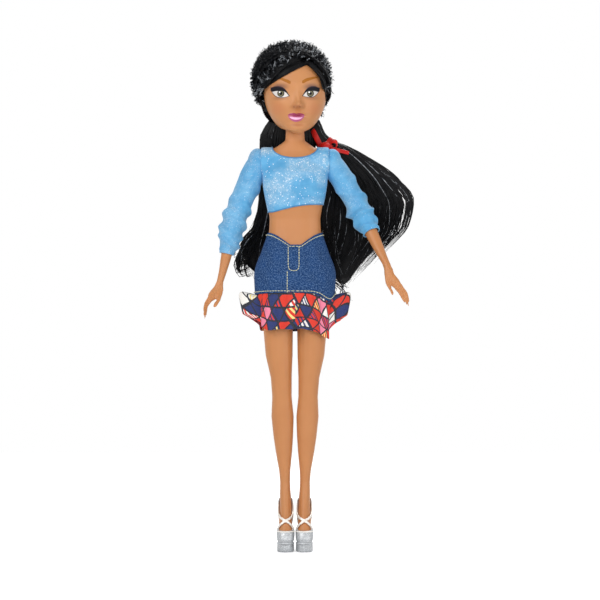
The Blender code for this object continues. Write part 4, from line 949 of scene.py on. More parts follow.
HEM_ROWS = [(-19.6, 199.2), (-14.2, 199.1), (-7.1, 200.6), (0.0, 202.3), (8.9, 203.4), (19.6, 203.6)]


def under_hem(point):
    return point.z < along_rows(HEM_ROWS, (point.x - MIDDLE.x) / MM)[0] * MM


EDGE_STEPS = 22


def edge_angles(around, low, high, inside):
    """Two elevations just below and above the sheet's edge. inside is true at high."""
    for _ in range(EDGE_STEPS):
        middle = (low + high) / 2
        low, high = (low, middle) if inside(on_chest(around, middle)) else (middle, high)
    return low, high


COLUMNS, ROWS = (144, 46)
grid = [[None] * COLUMNS for _ in range(ROWS)]
for i in range(COLUMNS):
    around = 2 * math.pi * i / COLUMNS
    top_edge = sum(edge_angles(around, 0.0, math.radians(82), in_neck)) / 2
    hem_edge = edge_angles(around, math.radians(-80), 0.0, lambda point: not under_hem(point))[1]
    for k in range(ROWS):
        share = k / (ROWS - 1)
        point = on_chest(around, mix(hem_edge, top_edge, share))
        out = (point - CHEST).normalized()
        tug = math.sin(math.pi * share) * (0.5 + 0.5 * wobble(3 * around, 9 * share, 0.4))
        drag = 0.22 * MM * math.sin(26 * share + 3 * math.sin(around) + 2.0 * wobble(around, 3 * share)) * tug
        if abs(point.x - MIDDLE.x) < SHOULDER_SIDE - 1.5 * MM:
            point += out * (drag + 0.25 * MM * math.sin(math.pi * share))
        grid[k][i] = point
TOP_FLAT = (108 * MM, 36 * MM)
top = cloth_sheet("top_body_knit", grid, True, TOP_FLAT, 0.45 * MM, knit)
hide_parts("top_bodice")
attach(top, "torso")
edge_rows = (grid[0], grid[-1])
hem_line, neck_line = ([point + (point - CHEST).normalized() * 0.35 * MM for point in row] for row in edge_rows)
edge_knit = knit_material("stretch_knit_rolled_edge", 0.1, "#2A6FA3", "#4F97C6")
edge = tube("top_rolled_edges", [hem_line, neck_line], 0.42 * MM, edge_knit, 2, True)
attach(edge, "torso")
print("top faces:", len(top.data.polygons))

# %% [markdown]
# ## Sleeves
# Long sleeves pushed up the forearm: the cloth bunches in slanting rolls from above the elbow to the cuff. Each
# sleeve is a sheet round the arm's middle line. Its first ring is the armhole, which stands upright at the
# shoulder, and the rings turn square to the arm within the first few millimetres.

# %% Arm lines
ARMS = {
    # degrees out from straight down of upper arm, forearm and hand, then degrees forward of the last two
    "left": (30, 25, 30.5, 24, 10),
    "right": (22, 13.5, 26, 5, 28),
}
CUFF_SHARES = {"left": 0.32, "right": 0.52}
CUFF_RADIUS = {"left": 4.9 * MM, "right": 4.2 * MM}


def arm_line(side_name):
    """Shoulder, elbow, wrist and fingertip."""
    side = 1 if side_name == "left" else -1
    upper, fore, hand, fore_ahead, hand_ahead = (math.radians(angle) for angle in ARMS[side_name])
    points = [MIDDLE + Vector((side * 21.84 * MM, 1.0 * MM, SHOULDER_Z))]
    for angle, ahead, length in (
        (upper, 0, 35.5 * MM),
        (fore, fore_ahead, 40.0 * MM),
        (hand, hand_ahead, 23.8 * MM),
    ):
        drop = length * math.cos(ahead)
        step = Vector((side * drop * math.sin(angle), -length * math.sin(ahead), -drop * math.cos(angle)))
        points.append(points[-1] + step)
    return points


def on_line(points, share):
    """A point on the smooth line through the points: 0 is the first, 1 the second."""
    i = min(int(share), 2)
    t = share - i
    before = points[i - 1] if i else points[0] * 2 - points[1]
    after = points[i + 2] if i < 2 else points[3] * 2 - points[2]
    a, b = points[i], points[i + 1]
    return hermite(a, b, (b - before) / 2, (after - a) / 2, t)


SLEEVE_ROWS = [
    # share of the sleeve, radius share between sleeve and cuff, fold strength
    (0.00, 1.22, 0.0),
    (0.12, 1.12, 0.1),
    (0.25, 1.03, 0.3),
    (0.45, 1.00, 0.6),
    (0.62, 0.98, 1.0),
    (0.78, 0.90, 1.3),
    (0.90, 0.62, 1.2),
    (0.97, 0.22, 0.6),
    (1.00, 0.00, 0.1),
]
SLEEVE_RADIUS = 7.0 * MM
# Each fold: share of the sleeve, degrees round the arm from the outer side, slant, height in mm, width share
SLEEVE_FOLDS = {
    "right": (
        (0.33, 200, 0.10, 0.8, 0.040),
        (0.47, 20, -0.08, 0.7, 0.045),
        (0.57, 190, 0.07, 1.2, 0.030),
        (0.64, 10, -0.05, 1.5, 0.036),
        (0.71, 170, 0.06, 1.3, 0.030),
        (0.77, 350, 0.05, 1.7, 0.036),
        (0.83, 200, -0.05, 1.2, 0.026),
        (0.89, 60, 0.04, 1.4, 0.028),
        (0.95, 230, 0.03, 0.9, 0.020),
    ),
    "left": (
        (0.30, 180, -0.10, 0.7, 0.045),
        (0.44, 60, 0.10, 0.6, 0.045),
        (0.60, 190, 0.08, 1.0, 0.034),
        (0.70, 0, 0.06, 2.3, 0.050),
        (0.76, 180, -0.05, 1.3, 0.030),
        (0.84, 20, -0.06, 1.7, 0.034),
        (0.90, 200, 0.05, 1.1, 0.026),
        (0.95, 90, 0.03, 0.9, 0.022),
    ),
}
print("arm lines:", {side: [round(v / MM) for v in arm_line(side)[3]] for side in ARMS})

# %% Sleeves
for side_name in ARMS:
    side = 1 if side_name == "left" else -1
    line = arm_line(side_name)
    cuff = 1 + CUFF_SHARES[side_name]
    count, rows = 72, 110
    limb_surface = surface_of(bpy.data.objects[f"arm_{side_name}_skin"])
    grid = []
    for k in range(rows):
        share = k / (rows - 1)
        place = share * cuff
        full, fold = along_rows(SLEEVE_ROWS, share)
        ahead = (on_line(line, place + 0.03) - on_line(line, max(0.0, place - 0.03))).normalized()
        turn = eased(min(1.0, share / 0.22))
        ahead = (Vector((side, 0, 0)) * (1 - turn) + ahead * turn).normalized()
        centre = on_line(line, place)
        armhole = MIDDLE + Vector((side * (SHOULDER_SIDE + 0.35 * MM), 1.0 * MM, SHOULDER_Z))
        centre = armhole * (1 - turn) + centre * turn
        front = Vector((0, -1, 0))
        across = ahead.cross(front).normalized() * side
        front = across.cross(ahead).normalized() * side
        row = []
        for i in range(count):
            angle = 2 * math.pi * i / count
            folded = 0.0
            for middle, start, slant, height, width in SLEEVE_FOLDS[side_name]:
                turned = angle - math.radians(start)
                away = (share - middle - slant * math.sin(turned)) / width
                around = (0.5 + 0.5 * math.cos(turned)) ** 0.7
                folded += 1.45 * height * MM * around * math.exp(-abs(away) ** 1.5)
            radius = mix(CUFF_RADIUS[side_name], SLEEVE_RADIUS, full) - 0.15 * MM
            radius += folded - 0.6 * MM * fold
            radius += 0.25 * MM * wobble(2.5 * math.cos(angle) + 4 * share, 2.5 * math.sin(angle), 3.0)
            out = across * math.cos(angle) * side + front * math.sin(angle)
            hit = limb_surface.ray_cast(centre + out * 0.05, -out)[0]
            if hit is not None and share > 0.02:
                radius = min(max(radius, (hit - centre).length + 0.3 * MM), radius + 2.0 * MM)
            row.append(centre + out * radius)
        grid.append(row)
    flat = (44 * MM, 58 * MM if side_name == "right" else 50 * MM)
    # Rows run from armhole to cuff, so the order round the arm decides which way the faces look
    test = (grid[0][1] - grid[0][0]).cross(grid[1][0] - grid[0][0])
    if test.dot(grid[0][0] - armhole) < 0:
        grid = [list(reversed(row)) for row in grid]
    sleeve = cloth_sheet(f"sleeve_{side_name}_knit", grid, True, flat, 0.40 * MM, sleeve_knit)
    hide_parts(f"sleeve_{side_name}")
    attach(sleeve, f"arm_{side_name}")
    rim = tube(f"cuff_{side_name}", [grid[-1]], 0.38 * MM, sleeve_knit, 2, True)
    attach(rim, f"arm_{side_name}")
    print("sleeve", side_name, "faces:", len(sleeve.data.polygons))

# %% [markdown]
# ## Denim
# Dark blue denim of fine twill: indigo warp over a white weft, so the surface is blue with pale flecks along a
# steep diagonal, and paler in patches where it was rubbed. At this scale the twill lines are 0.5 mm
# apart, drawn at 0.8 mm so that they show.

# %% Denim and thread materials
denim, tree, shader = start_material("woven_indigo_denim", {"Roughness": 0.85, "IOR": 1.5, "Specular IOR Level": 0.1})
place = cloth_map(tree, 0.8)
twill = add_node(
    tree,
    "ShaderNodeTexWave",
    {"Vector": place, "Scale": 0.314, "Distortion": 1.4, "Detail": 2.0, "Detail Scale": 2.0},
    bands_direction="DIAGONAL",
).outputs["Fac"]
fleck = noise(tree, place, 0.9, 4.0, {"Roughness": 0.8})
tint = blended(tree, noise(tree, place, 0.12, 3.0), "#0A2246", "#153D72")
tint = blended(tree, ranged(tree, twill, 0.0, 1.0, 0.0, 0.35), tint, "#34588C")
tint = blended(tree, ranged(tree, fleck, 0.48, 0.66, 0.0, 0.8), tint, "#6E8FBA")
set_looks(tree, shader, tint, calculated(tree, "ADD", twill, fleck), 0.4, 0.12 * MM)

COTTON = {"Roughness": 0.7, "IOR": 1.5, "Sheen Weight": 0.2}
thread = mottled("twisted_cotton_thread", COTTON, "#B9B78E", "#E2E0C2", 0.4, 1.0)
print("materials:", denim.name, thread.name)

# %% [markdown]
# ## The skirt
# A fitted mini skirt with a notch at the front of the waist, a fly with double stitching and a seam down the
# middle. It crosses both hip joints, so it is made in two halves that meet at the seams in front and behind.

# %% Skirt shape
SKIRT_TOP_Z = HIP_Z + 0.37 * TORSO_LENGTH
SKIRT_HEM_Z = HIP_Z - 12 * MM
HIP_ROWS = [
    # height, half width, front and back of the body
    (148.7 * MM, 19.9 * MM, -9.45 * MM, 11.5 * MM),
    (162.0 * MM, 20.5 * MM, -10.5 * MM, 12.5 * MM),
    (175.3 * MM, 17.5 * MM, -10.0 * MM, 10.6 * MM),
    (193.9 * MM, 15.0 * MM, -8.0 * MM, 8.0 * MM),
    (207.2 * MM, 17.2 * MM, -9.9 * MM, 8.9 * MM),
]
EASE_ROWS = [(0.00, 0.00), (0.20, 0.35), (0.50, 0.85), (1.00, 1.00)]


def skirt_point(angle, share, extra):
    """A point on the skirt: share 0 is the waist and 1 the hem."""
    front = max(0.0, -math.sin(angle))
    notch = max(0.0, min(1.0, (1 - abs(math.cos(angle) - 0.02)) / 0.86)) if math.sin(angle) < 0 else 0.0
    top = SKIRT_TOP_Z - 7.2 * MM * notch**1.7 * min(1.0, front * 2) - 1.4 * MM * max(0.0, math.sin(angle))
    hem = SKIRT_HEM_Z + 1.4 * MM * front - 4.4 * MM * math.exp(-(((angle + 0.62) / 0.34) ** 2))
    z = mix(top, hem, share)
    ease = 0.4 * MM + 3.0 * MM * along_rows(EASE_ROWS, share)[0] + extra
    half, front_y, back_y = along_rows(HIP_ROWS, z)
    across, along = rounded(math.cos(angle), 2.35), rounded(math.sin(angle), 2.35)
    return MIDDLE + Vector(((half + ease) * across, mix(front_y - ease, back_y + ease, 0.5 + along / 2), z))


def follow_leg(piece):
    """Bakes the piece's placement into its points."""
    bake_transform(piece)


HALVES = {"left": (-math.pi / 2, math.pi / 2), "right": (math.pi / 2, 3 * math.pi / 2)}
skirt_halves = {}
for side_name, (start, end) in HALVES.items():
    columns, rows = 90, 40
    grid = []
    for k in range(rows + 1):
        row = []
        for i in range(columns + 1):
            angle = mix(start, end, i / columns)
            share = 1 - k / rows
            crease = 0.14 * MM * wobble(5 * angle, 5 * share, 7.0) * share
            row.append(skirt_point(angle, share, crease))
        grid.append(row)
    flat = (66 * MM, 34 * MM)
    half = cloth_sheet(f"skirt_{side_name}_denim", grid, False, flat, 0.7 * MM, denim)
    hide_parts("skirt_denim")
    follow_leg(half)
    skirt_halves[side_name] = (half, flat)
print("skirt halves:", sorted(skirt_halves))

# %% [markdown]
# ## Stitching
# Pale thread, sewn with a twin needle in places. Stitches are short rods with rounded ends that sit in the cloth: 1.3
# mm long with 0.3 mm between. One run follows each of the waist, the fly, the middle seam and the hem.

# %% Stitches
denim_surface = surface_of(*(half for half, _ in skirt_halves.values()))


STITCH, GAP = 1.3 * MM, 0.3 * MM
HALF_GIRTH = 66 * MM


def stitch_runs(points):
    """Short paths on the denim along a line seen from the front through points (x, z) in mm."""
    line = [Vector((x * MM, z * MM)) for x, z in points]
    lengths = [0.0]
    for a, b in zip(line, line[1:]):
        lengths.append(lengths[-1] + (b - a).length)

    def at(distance):
        i = max(k for k in range(len(line) - 1) if lengths[k] <= distance + 1e-9)
        share = (distance - lengths[i]) / (lengths[i + 1] - lengths[i])
        place = line[i].lerp(line[i + 1], min(1.0, share))
        return seen_on(denim_surface, place.x, place.y, 0.12 * MM)

    runs, distance = [], 0.0
    while distance + 0.4 * STITCH < lengths[-1]:
        last = min(distance + STITCH, lengths[-1] - 1e-6)
        runs.append([at(mix(distance, last, k / 4)) for k in range(5)])
        distance += STITCH + GAP
    return runs


def ring_runs(side_name, share):
    """Short paths round one half of the skirt at one share of its length."""
    start, end = HALVES[side_name]
    count = int(HALF_GIRTH / (STITCH + GAP))
    runs = []
    for n in range(count):
        first = mix(start, end, (n + 0.15) / count)
        last = mix(start, end, (n + 0.15 + STITCH / (STITCH + GAP)) / count)
        runs.append([skirt_point(mix(first, last, k / 4), share, 0.82 * MM) for k in range(5)])
    return runs


def bead(share):
    return max(0.25, math.sin(math.pi * (0.08 + 0.84 * share)) ** 0.5)


RUNS = {
    "right": [
        [(-10.6, 178.6), (-10.6, 168.0), (-10.3, 165.6), (-9.3, 164.7), (-7.9, 164.4), (-6.7, 164.4)],
        [(-11.2, 164.0), (-11.2, 151.0)],
    ],
    "left": [[(-4.2, 178.9), (-4.2, 168.0), (-4.4, 166.0), (-5.2, 164.8), (-6.5, 164.4)]],
}
for side_name, (half, flat) in skirt_halves.items():
    runs = [run for line in RUNS[side_name] for run in stitch_runs(line)]
    runs += ring_runs(side_name, 0.035) + ring_runs(side_name, 0.965)
    stitches = tube(f"stitches_{side_name}", runs, 0.27 * MM, thread, 1, False, bead)
    follow_leg(stitches)
    print("stitches", side_name, len(runs))

# %% [markdown]
# ## The ruffle
# A strip of printed plain-weave cotton, gathered under the denim's hem, with a flap that stands out at each side.
# The print has a repeat of its own: a net of slanted triangles in red, navy, white, yellow and pink, outlined in
# near black, some of them barred. Only its colours and the size of its motifs follow the real cloth's.

# %% Printed cotton material
print_cloth, tree, shader = start_material(
    "screen_printed_cotton", {"Roughness": 0.75, "IOR": 1.5, "Specular IOR Level": 0.12}
)
place = cloth_map(tree, 1.0)
warp = noise(tree, place, 0.05, 0.0, output="Color")
laid = vector_step(tree, "ADD", place, vector_step(tree, "MULTIPLY", warp, (9.0, 9.0, 0.0)))
PANEL = 6.5  # mm between the lines of one direction
lines, steps, edge = [], [], 1.0
for slope in (24, 83, 141):
    step = (math.cos(math.radians(slope)) / PANEL, math.sin(math.radians(slope)) / PANEL, 0)
    lines.append(vector_step(tree, "DOT_PRODUCT", laid, step, output="Value"))
    steps.append(calculated(tree, "FLOOR", lines[-1]))
    # Distance to the nearest line of any direction
    edge = calculated(tree, "MINIMUM", edge, calculated(tree, "PINGPONG", lines[-1], 0.5))
panel = add_node(tree, "ShaderNodeCombineXYZ", dict(enumerate(steps)))
draw = add_node(tree, "ShaderNodeTexWhiteNoise", {"Vector": panel.outputs[0]}, noise_dimensions="3D")
chance = add_node(tree, "ShaderNodeSeparateColor", {0: draw.outputs["Color"]}).outputs
INKS = (
    # channel of the draw, first ink, then the draws from which the next inks take over
    (0, "#DE2C16", ((0.34, "#12296A"), (0.64, "#DE2C16"), (0.80, "#EE829E"), (0.90, "#F4F1EA"))),
    (1, "#12296A", ((0.30, "#F5E08A"), (0.55, "#DE2C16"), (0.80, "#F4F1EA"))),
)
inks = []
for channel, ink, cuts in INKS:
    for threshold, shade in cuts:
        ink = blended(tree, calculated(tree, "GREATER_THAN", chance[channel], threshold), ink, shade)
    inks.append(ink)
# A third of the panels carry bars in a second colour
bars = calculated(tree, "FRACT", calculated(tree, "MULTIPLY", lines[0], 3.5))
bar_on = calculated(tree, "GREATER_THAN", bars, 0.55)
barred = calculated(tree, "GREATER_THAN", chance[2], 0.66)
tint = blended(tree, calculated(tree, "MULTIPLY", bar_on, barred), *inks)
tint = blended(tree, calculated(tree, "LESS_THAN", edge, 0.065), tint, "#14182A")
weave = noise(tree, place, 2.2)
tint = blended(tree, ranged(tree, weave, 0.0, 1.0, 0.0, 0.08), tint, "#F4F1EA")
set_looks(tree, shader, tint, weave, 0.25, 0.1 * MM)
print("material:", print_cloth.name)

# %% Ruffle
RUFFLE_ROWS = [
    # share of the drop, flare of the side flaps, folds
    (0.00, 0.00, 0.15),
    (0.18, 0.70, 0.40),
    (0.38, 1.00, 0.70),
    (0.60, 0.85, 0.90),
    (1.00, 0.35, 1.00),
]
RUFFLE_FOLDS = [
    # degrees round the skirt, push outwards in mm, length share, flap
    (-180, 0.0, 0.62, 1.0),
    (-167, -1.0, 0.68, 0.45),
    (-154, -2.2, 0.80, 0.0),
    (-138, 1.6, 0.90, 0.0),
    (-122, 2.4, 1.00, 0.0),
    (-107, -0.8, 0.97, 0.0),
    (-93, 2.6, 0.98, 0.0),
    (-83, -1.6, 0.96, 0.0),
    (-68, 2.2, 1.02, 0.0),
    (-53, 0.0, 1.03, 0.0),
    (-40, 1.2, 1.03, 0.0),
    (-27, -2.0, 0.85, 0.0),
    (-13, -1.0, 0.74, 0.45),
    (0, 0.0, 0.68, 1.0),
    (15, -1.0, 0.74, 0.4),
    (32, -1.6, 0.90, 0.0),
    (50, 2.0, 1.00, 0.0),
    (72, -1.0, 0.97, 0.0),
    (94, 2.2, 1.00, 0.0),
    (116, -1.2, 0.98, 0.0),
    (138, 2.0, 0.98, 0.0),
    (158, -1.4, 0.80, 0.3),
    (180, 0.0, 0.62, 1.0),
]


def ruffle_point(angle, share):
    flare, fold = along_rows(RUFFLE_ROWS, share)
    degrees = (math.degrees(angle) + 180) % 360 - 180
    push, length, flap = along_rows(RUFFLE_FOLDS, degrees)
    base = skirt_point(angle, 1.0, 0.1 * MM)
    out = Vector((math.cos(angle), math.sin(angle), 0))
    flap = max(0.0, flap)
    fine = 0.45 * MM * math.cos(31 * angle + 1.5 * math.sin(3 * angle)) * (1 - share)
    reach = 9.5 * MM * flare * flap + push * fold * MM + fine * (1 - flap)
    drop = 21.5 * MM * share * mix(1, length, share) - 7.5 * MM * flap * math.sin(math.pi * min(1, 1.5 * share))
    return base + out * reach - Vector((0, 0, drop + 0.3 * MM))


for side_name, (start, end) in HALVES.items():
    columns, rows = 260, 30
    grid = []
    for k in range(rows + 1):
        grid.append([ruffle_point(mix(start, end, i / columns), 1 - k / rows) for i in range(columns + 1)])
    lengths = [sum((b - a).length for a, b in zip(row, row[1:])) for row in grid]
    heights = [sum((b - a).length for a, b in zip(line, line[1:])) for line in zip(*grid)]
    flat = (sum(lengths) / len(lengths), sum(heights) / len(heights))
    ruffle = cloth_sheet(f"ruffle_{side_name}_cotton", grid, False, flat, 0.35 * MM, print_cloth, 80)
    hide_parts("skirt_ruffle")
    follow_leg(ruffle)
    print("ruffle", side_name, "flat mm:", [round(v / MM, 1) for v in flat])

# %% [markdown]
# ## Rooted hair
# Nylon fibre, dyed black and rooted in the scalp. It is glossy and slightly blue where light runs along it. Single
# fibres are far too thin to model, so locks are built from strands a few tenths of a millimetre thick, each a tube
# with four sides that narrows to its tip. They lie on a dark mass, so that no light shows between them.

# %% Hair materials


def fibre_material(name, dark, light, roughness):
    """Glossy fibre whose tint changes from strand to strand."""
    made, tree, shader = start_material(name, {"Roughness": roughness, "IOR": 1.55, "Specular IOR Level": 0.13})
    strand = noise(tree, object_place(tree), 1 / (1.2 * MM))
    tint = blended(tree, ranged(tree, strand, 0.35, 0.75), dark, light)
    set_looks(tree, shader, tint, strand, 0.3, 0.2 * MM)
    return made


fibre = fibre_material("nylon_fibre_black", "#010102", "#08090D", 0.34)
crimped = fibre_material("nylon_fibre_crimped", "#020305", "#1B1E24", 0.45)
# Pale grey fibre for strands that stand for light caught on the hair: painted glints
glint = fibre_material("nylon_fibre_painted_glint", "#5A5F66", "#C9CDD1", 0.35)
print("materials:", fibre.name, crimped.name, glint.name)

# %% [markdown]
# ## The dark masses
# Under the strands lie the hair's own solids, remeshed, relaxed and shrunk a little, so that only strands make the
# outline.

# %% Hair masses
NAPE_Z = CHIN_Z + 0.16 * HEAD_HEIGHT


def hair_mass(node, voxel, shrink, body):
    piece = merged_copy(f"{node}_mass", node)
    apply_modifier(piece, "REMESH", mode="VOXEL", voxel_size=voxel, adaptivity=0.0)
    apply_modifier(piece, "SMOOTH", factor=0.5, iterations=6)
    apply_modifier(piece, "DISPLACE", strength=-shrink, mid_level=0.0)
    set_material(smooth_shaded(piece, 60), fibre)
    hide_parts(node)
    if body:
        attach(piece, body)
    return piece


def hang_from_head(piece):
    """Hair that lies on the back: its placement is baked into its points."""
    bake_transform(piece)


cap = hair_mass("hair_cap", 0.7 * MM, 1.9 * MM, "head")
fringe = hair_mass("hair_bangs", 0.35 * MM, 0.15 * MM, "head")
sweep = hair_mass("hair_sweep", 0.35 * MM, 0.15 * MM, "head")
fall = hair_mass("hair_fall", 1.0 * MM, 3.0 * MM, None)
tail = hair_mass("hair_tail", 1.0 * MM, 3.0 * MM, None)
hang_from_head(fall)
hang_from_head(tail)
print("hair masses:", [len(piece.data.polygons) for piece in (cap, fringe, sweep, fall, tail)])

# %% [markdown]
# ## Combed hair over the forehead
# From the parting the hair is combed flat to both sides. Strands run between two curves drawn in the front view:
# the hairline over the forehead and the edge of the crimped crown. They are laid on the masses along the lines of
# sight.

# %% Fringe and side sweep
dice = random.Random(11)
hair_surface = surface_of(cap, fringe, sweep, head)


def laid_path(points, lift):
    """A path seen from the front through (x, z) in mm, laid on the hair. Past the outline it keeps its depth."""
    path, depth = [], None
    for x, z in points:
        ray = (Vector((x * MM, 0, z * MM)) - EYE).normalized()
        hit = hair_surface.ray_cast(EYE, ray)[0]
        if hit is None and depth is not None:
            hit = EYE + ray * ((depth - EYE.y) / ray.y)
        if hit is None:
            continue
        depth = hit.y
        path.append(hit - ray * lift)
    return path


def on_curve(points, share):
    """A point on a smooth curve through points that are spread evenly over the share."""
    place = share * (len(points) - 1)
    i = min(int(place), len(points) - 2)
    t = place - i
    p0 = points[max(i - 1, 0)]
    p1, p2 = points[i], points[i + 1]
    p3 = points[min(i + 2, len(points) - 1)]
    return tuple(
        0.5 * (2 * b + (c - a) * t + (2 * a - 5 * b + 4 * c - d) * t**2 + (3 * b - a - 3 * c + d) * t**3)
        for a, b, c, d in zip(p0, p1, p2, p3)
    )


def combed(low_curve, high_curve, count, steps, scatter, lift):
    """Strand paths between two curves."""
    paths = []
    for n in range(count):
        across = clamp((n + dice.uniform(-0.4, 0.4)) / count)
        bend = dice.uniform(-scatter, scatter)
        points = []
        for k in range(steps):
            share = k / (steps - 1)
            low, high = on_curve(low_curve, share), on_curve(high_curve, share)
            blend = clamp(across + bend * math.sin(math.pi * share))
            points.append((mix(low[0], high[0], blend), mix(low[1], high[1], blend)))
        paths.append(laid_path(points, lift + dice.uniform(0, 0.5) * MM))
    return [path for path in paths if len(path) > 4]


def taper(share):
    return max(0.15, min(1.0, 6 * share, 4 * (1 - share)))


# From the parting to the end, as seen, (x, z) in mm
FRINGE_LOW = [
    (0.9, 286.2), (-5.5, 283.6), (-12.5, 279.9), (-18.0, 276.6), (-22.5, 273.4), (-26.0, 269.4), (-27.2, 262.5)
]
FRINGE_HIGH = [
    (0.6, 293.0), (-4.8, 292.3), (-9.6, 290.2), (-14.6, 287.4), (-19.5, 283.6), (-25.4, 276.0), (-29.6, 265.0)
]
SWEEP_LOW = [(0.0, 286.4), (3.6, 283.6), (6.7, 280.5), (9.0, 277.6), (10.4, 274.6), (11.2, 270.0), (11.4, 264.6)]
SWEEP_HIGH = [(-0.4, 293.0), (4.8, 291.4), (9.0, 288.4), (11.8, 284.6), (13.6, 280.0), (14.6, 274.0), (14.2, 266.0)]
fringe_paths = combed(FRINGE_LOW, FRINGE_HIGH, 120, 16, 0.06, 0.25 * MM)
smooth_front = tube("hair_fringe_strands", fringe_paths, 0.30 * MM, fibre, 0, False, taper)
sweep_paths = combed(SWEEP_LOW, SWEEP_HIGH, 70, 14, 0.06, 0.25 * MM)
smooth_side = tube("hair_sweep_strands", sweep_paths, 0.30 * MM, fibre, 0, False, taper)
for piece in (smooth_front, smooth_side):
    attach(piece, "head")
print("combed strands' faces:", len(smooth_front.data.polygons), len(smooth_side.data.polygons))

# %% [markdown]
# ## The crimped crown
# Behind the combed hair the crown is crimped short: thousands of fibres in zigzag stand off the head. Near the
# front a share of the tufts are pale grey: painted glints. Tufts are sown over the cap, each leaning back from the
# face.

# %% Crown tufts
CROWN = MIDDLE + Vector((-1.8 * MM, 1.5 * MM, 272 * MM))
FRONT_EDGE = FRINGE_HIGH[::-1] + SWEEP_HIGH[1:]
FRONT_DENSE = [on_curve(FRONT_EDGE, k / 80) for k in range(81)]
MIDDLE_X = -6.6  # of the head, in mm


def behind_front(point):
    """How far above the combed hair's upper edge the point is seen, in mm. Points at the back count as far."""
    if point.y > 3 * MM:
        return 20.0
    seen = EYE + (point - EYE) * ((0 - EYE.y) / (point.y - EYE.y))
    x, z = seen.x / MM, seen.z / MM
    # Of two points equally near, the one that lies less in the point's own direction counts
    away, _, a, b = min(
        ((x - a) ** 2 + (z - b) ** 2, (x - MIDDLE_X) * (a - MIDDLE_X) + (z - 272) * (b - 272), a, b)
        for a, b in FRONT_DENSE
    )
    inside = math.hypot(x - MIDDLE_X, z - 266) < math.hypot(a - MIDDLE_X, b - 266)
    return -math.sqrt(away) if inside else math.sqrt(away)


tufts, glints = [], []
COUNT = 4300
for n in range(COUNT):
    # Points spread evenly over a sphere, sent out from the middle of the head
    height = 1 - 1.72 * (n + 0.5) / COUNT
    around = n * math.pi * (3 - math.sqrt(5))
    flat = math.sqrt(1 - height * height)
    out = Vector((flat * math.cos(around), flat * math.sin(around), height))
    hit, normal = hair_surface.ray_cast(CROWN + out * 0.1, -out)[:2]
    if hit is None:
        continue
    rise = behind_front(hit)
    low = 264 if hit.x < MIDDLE.x else 271
    under = hit.z < low * MM and hit.y < 9 * MM
    if rise < -3.0 or (under and hit.y < -1 * MM):
        continue
    back = Vector((0.15 * math.copysign(1, hit.x - CROWN.x), 0.55, 0.35 if hit.z > 272 * MM else -0.6))
    loose = Vector((dice.uniform(-1, 1), dice.uniform(-1, 1), dice.uniform(-1, 1)))
    along = (normal * dice.uniform(0.3, 0.8) + back * dice.uniform(0.3, 0.8) + loose * 0.55).normalized()
    sideways = along.cross(normal)
    sideways = (sideways if sideways.length > 0.01 else along.orthogonal()).normalized()
    if under:
        along = (back + normal * 0.2).normalized()
    length = (1.6 if under else dice.uniform(2.6, 5.0)) * MM
    path = []
    for k in range(8):
        share = k / 7
        point = hit - normal * 0.6 * MM + along * length * share
        point += sideways * (0.5 * MM * (1 if k % 2 else -1) * min(1, 3 * share))
        point += normal * 0.8 * MM * math.sin(math.pi * share)
        path.append(point)
    # Near the front about a quarter of the tufts are pale grey: painted glints
    bright = rise < 5.5 and hit.y < 4 * MM and dice.random() < 0.28
    (glints if bright else tufts).append(path)
crown = tube("hair_crown_crimp", tufts, 0.24 * MM, crimped, 0, False, taper)
sparkle = tube("hair_crown_painted_glints", glints, 0.22 * MM, glint, 0, False, taper)
for piece in (crown, sparkle):
    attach(piece, "head")
print("tufts:", len(tufts), "glints:", len(glints))

# %% [markdown]
# ## Loose hair and the fanned tail
# The long hair falls behind the neck in one mass with curled ends, and a gathered tail fans out over the doll's
# left shoulder. Each lock has a flat oval section that changes along it. Strands run along the lock at a fixed
# place in the section, wave a little, and spread or curl at their ends.

# %% Loose hair
FALL_ROWS = [
    # share of the length, left and right edge over the half width, y and thickness over 9 mm
    (-0.10, -0.30, 0.20, 1.30, 0.40),
    (0.00, -0.48, 0.30, 1.50, 0.70),
    (0.10, -0.60, 0.36, 1.60, 0.85),
    (0.20, -0.60, 0.30, 1.84, 0.95),
    (0.35, -0.60, 0.18, 1.98, 1.00),
    (0.50, -0.62, 0.20, 1.98, 1.00),
    (0.65, -0.70, 0.24, 2.16, 1.00),
    (0.80, -0.86, 0.24, 2.42, 0.95),
    (0.92, -0.90, 0.16, 2.44, 0.85),
    (1.00, -0.80, 0.00, 2.42, 0.70),
]
TAIL_ROWS = [
    # share, lower edge x and z, upper edge x and z, y and thickness
    (-0.06, 0.060, -0.030, 0.120, -0.060, 1.40, 0.45),
    (0.00, 0.130, 0.030, 0.225, -0.015, 1.50, 0.62),
    (0.08, 0.165, 0.100, 0.265, 0.055, 1.48, 0.62),
    (0.17, 0.225, 0.160, 0.340, 0.100, 1.46, 0.56),
    (0.26, 0.290, 0.215, 0.470, 0.140, 1.50, 0.80),
    (0.38, 0.300, 0.320, 0.700, 0.250, 1.62, 0.95),
    (0.50, 0.270, 0.450, 0.885, 0.360, 1.66, 1.00),
    (0.62, 0.225, 0.590, 1.000, 0.480, 1.70, 1.00),
    (0.74, 0.215, 0.730, 0.960, 0.620, 1.82, 1.00),
    (0.86, 0.250, 0.860, 0.780, 0.760, 2.05, 0.95),
    (0.95, 0.330, 0.960, 0.620, 0.880, 2.10, 0.80),
    (1.00, 0.420, 1.000, 0.520, 0.970, 2.10, 0.60),
]


def lock_point(left, right, y, thick, across, depth):
    """A point in a flat oval section between two (x, z) edges: across 0 to 1, depth -1 to 1."""
    half = max(0.0, 1 - abs(2 * across - 1) ** 2.4) ** (1 / 2.4)
    return MIDDLE + Vector(
        (mix(left[0], right[0], across), y + thick / 2 * half * depth, mix(left[1], right[1], across))
    )


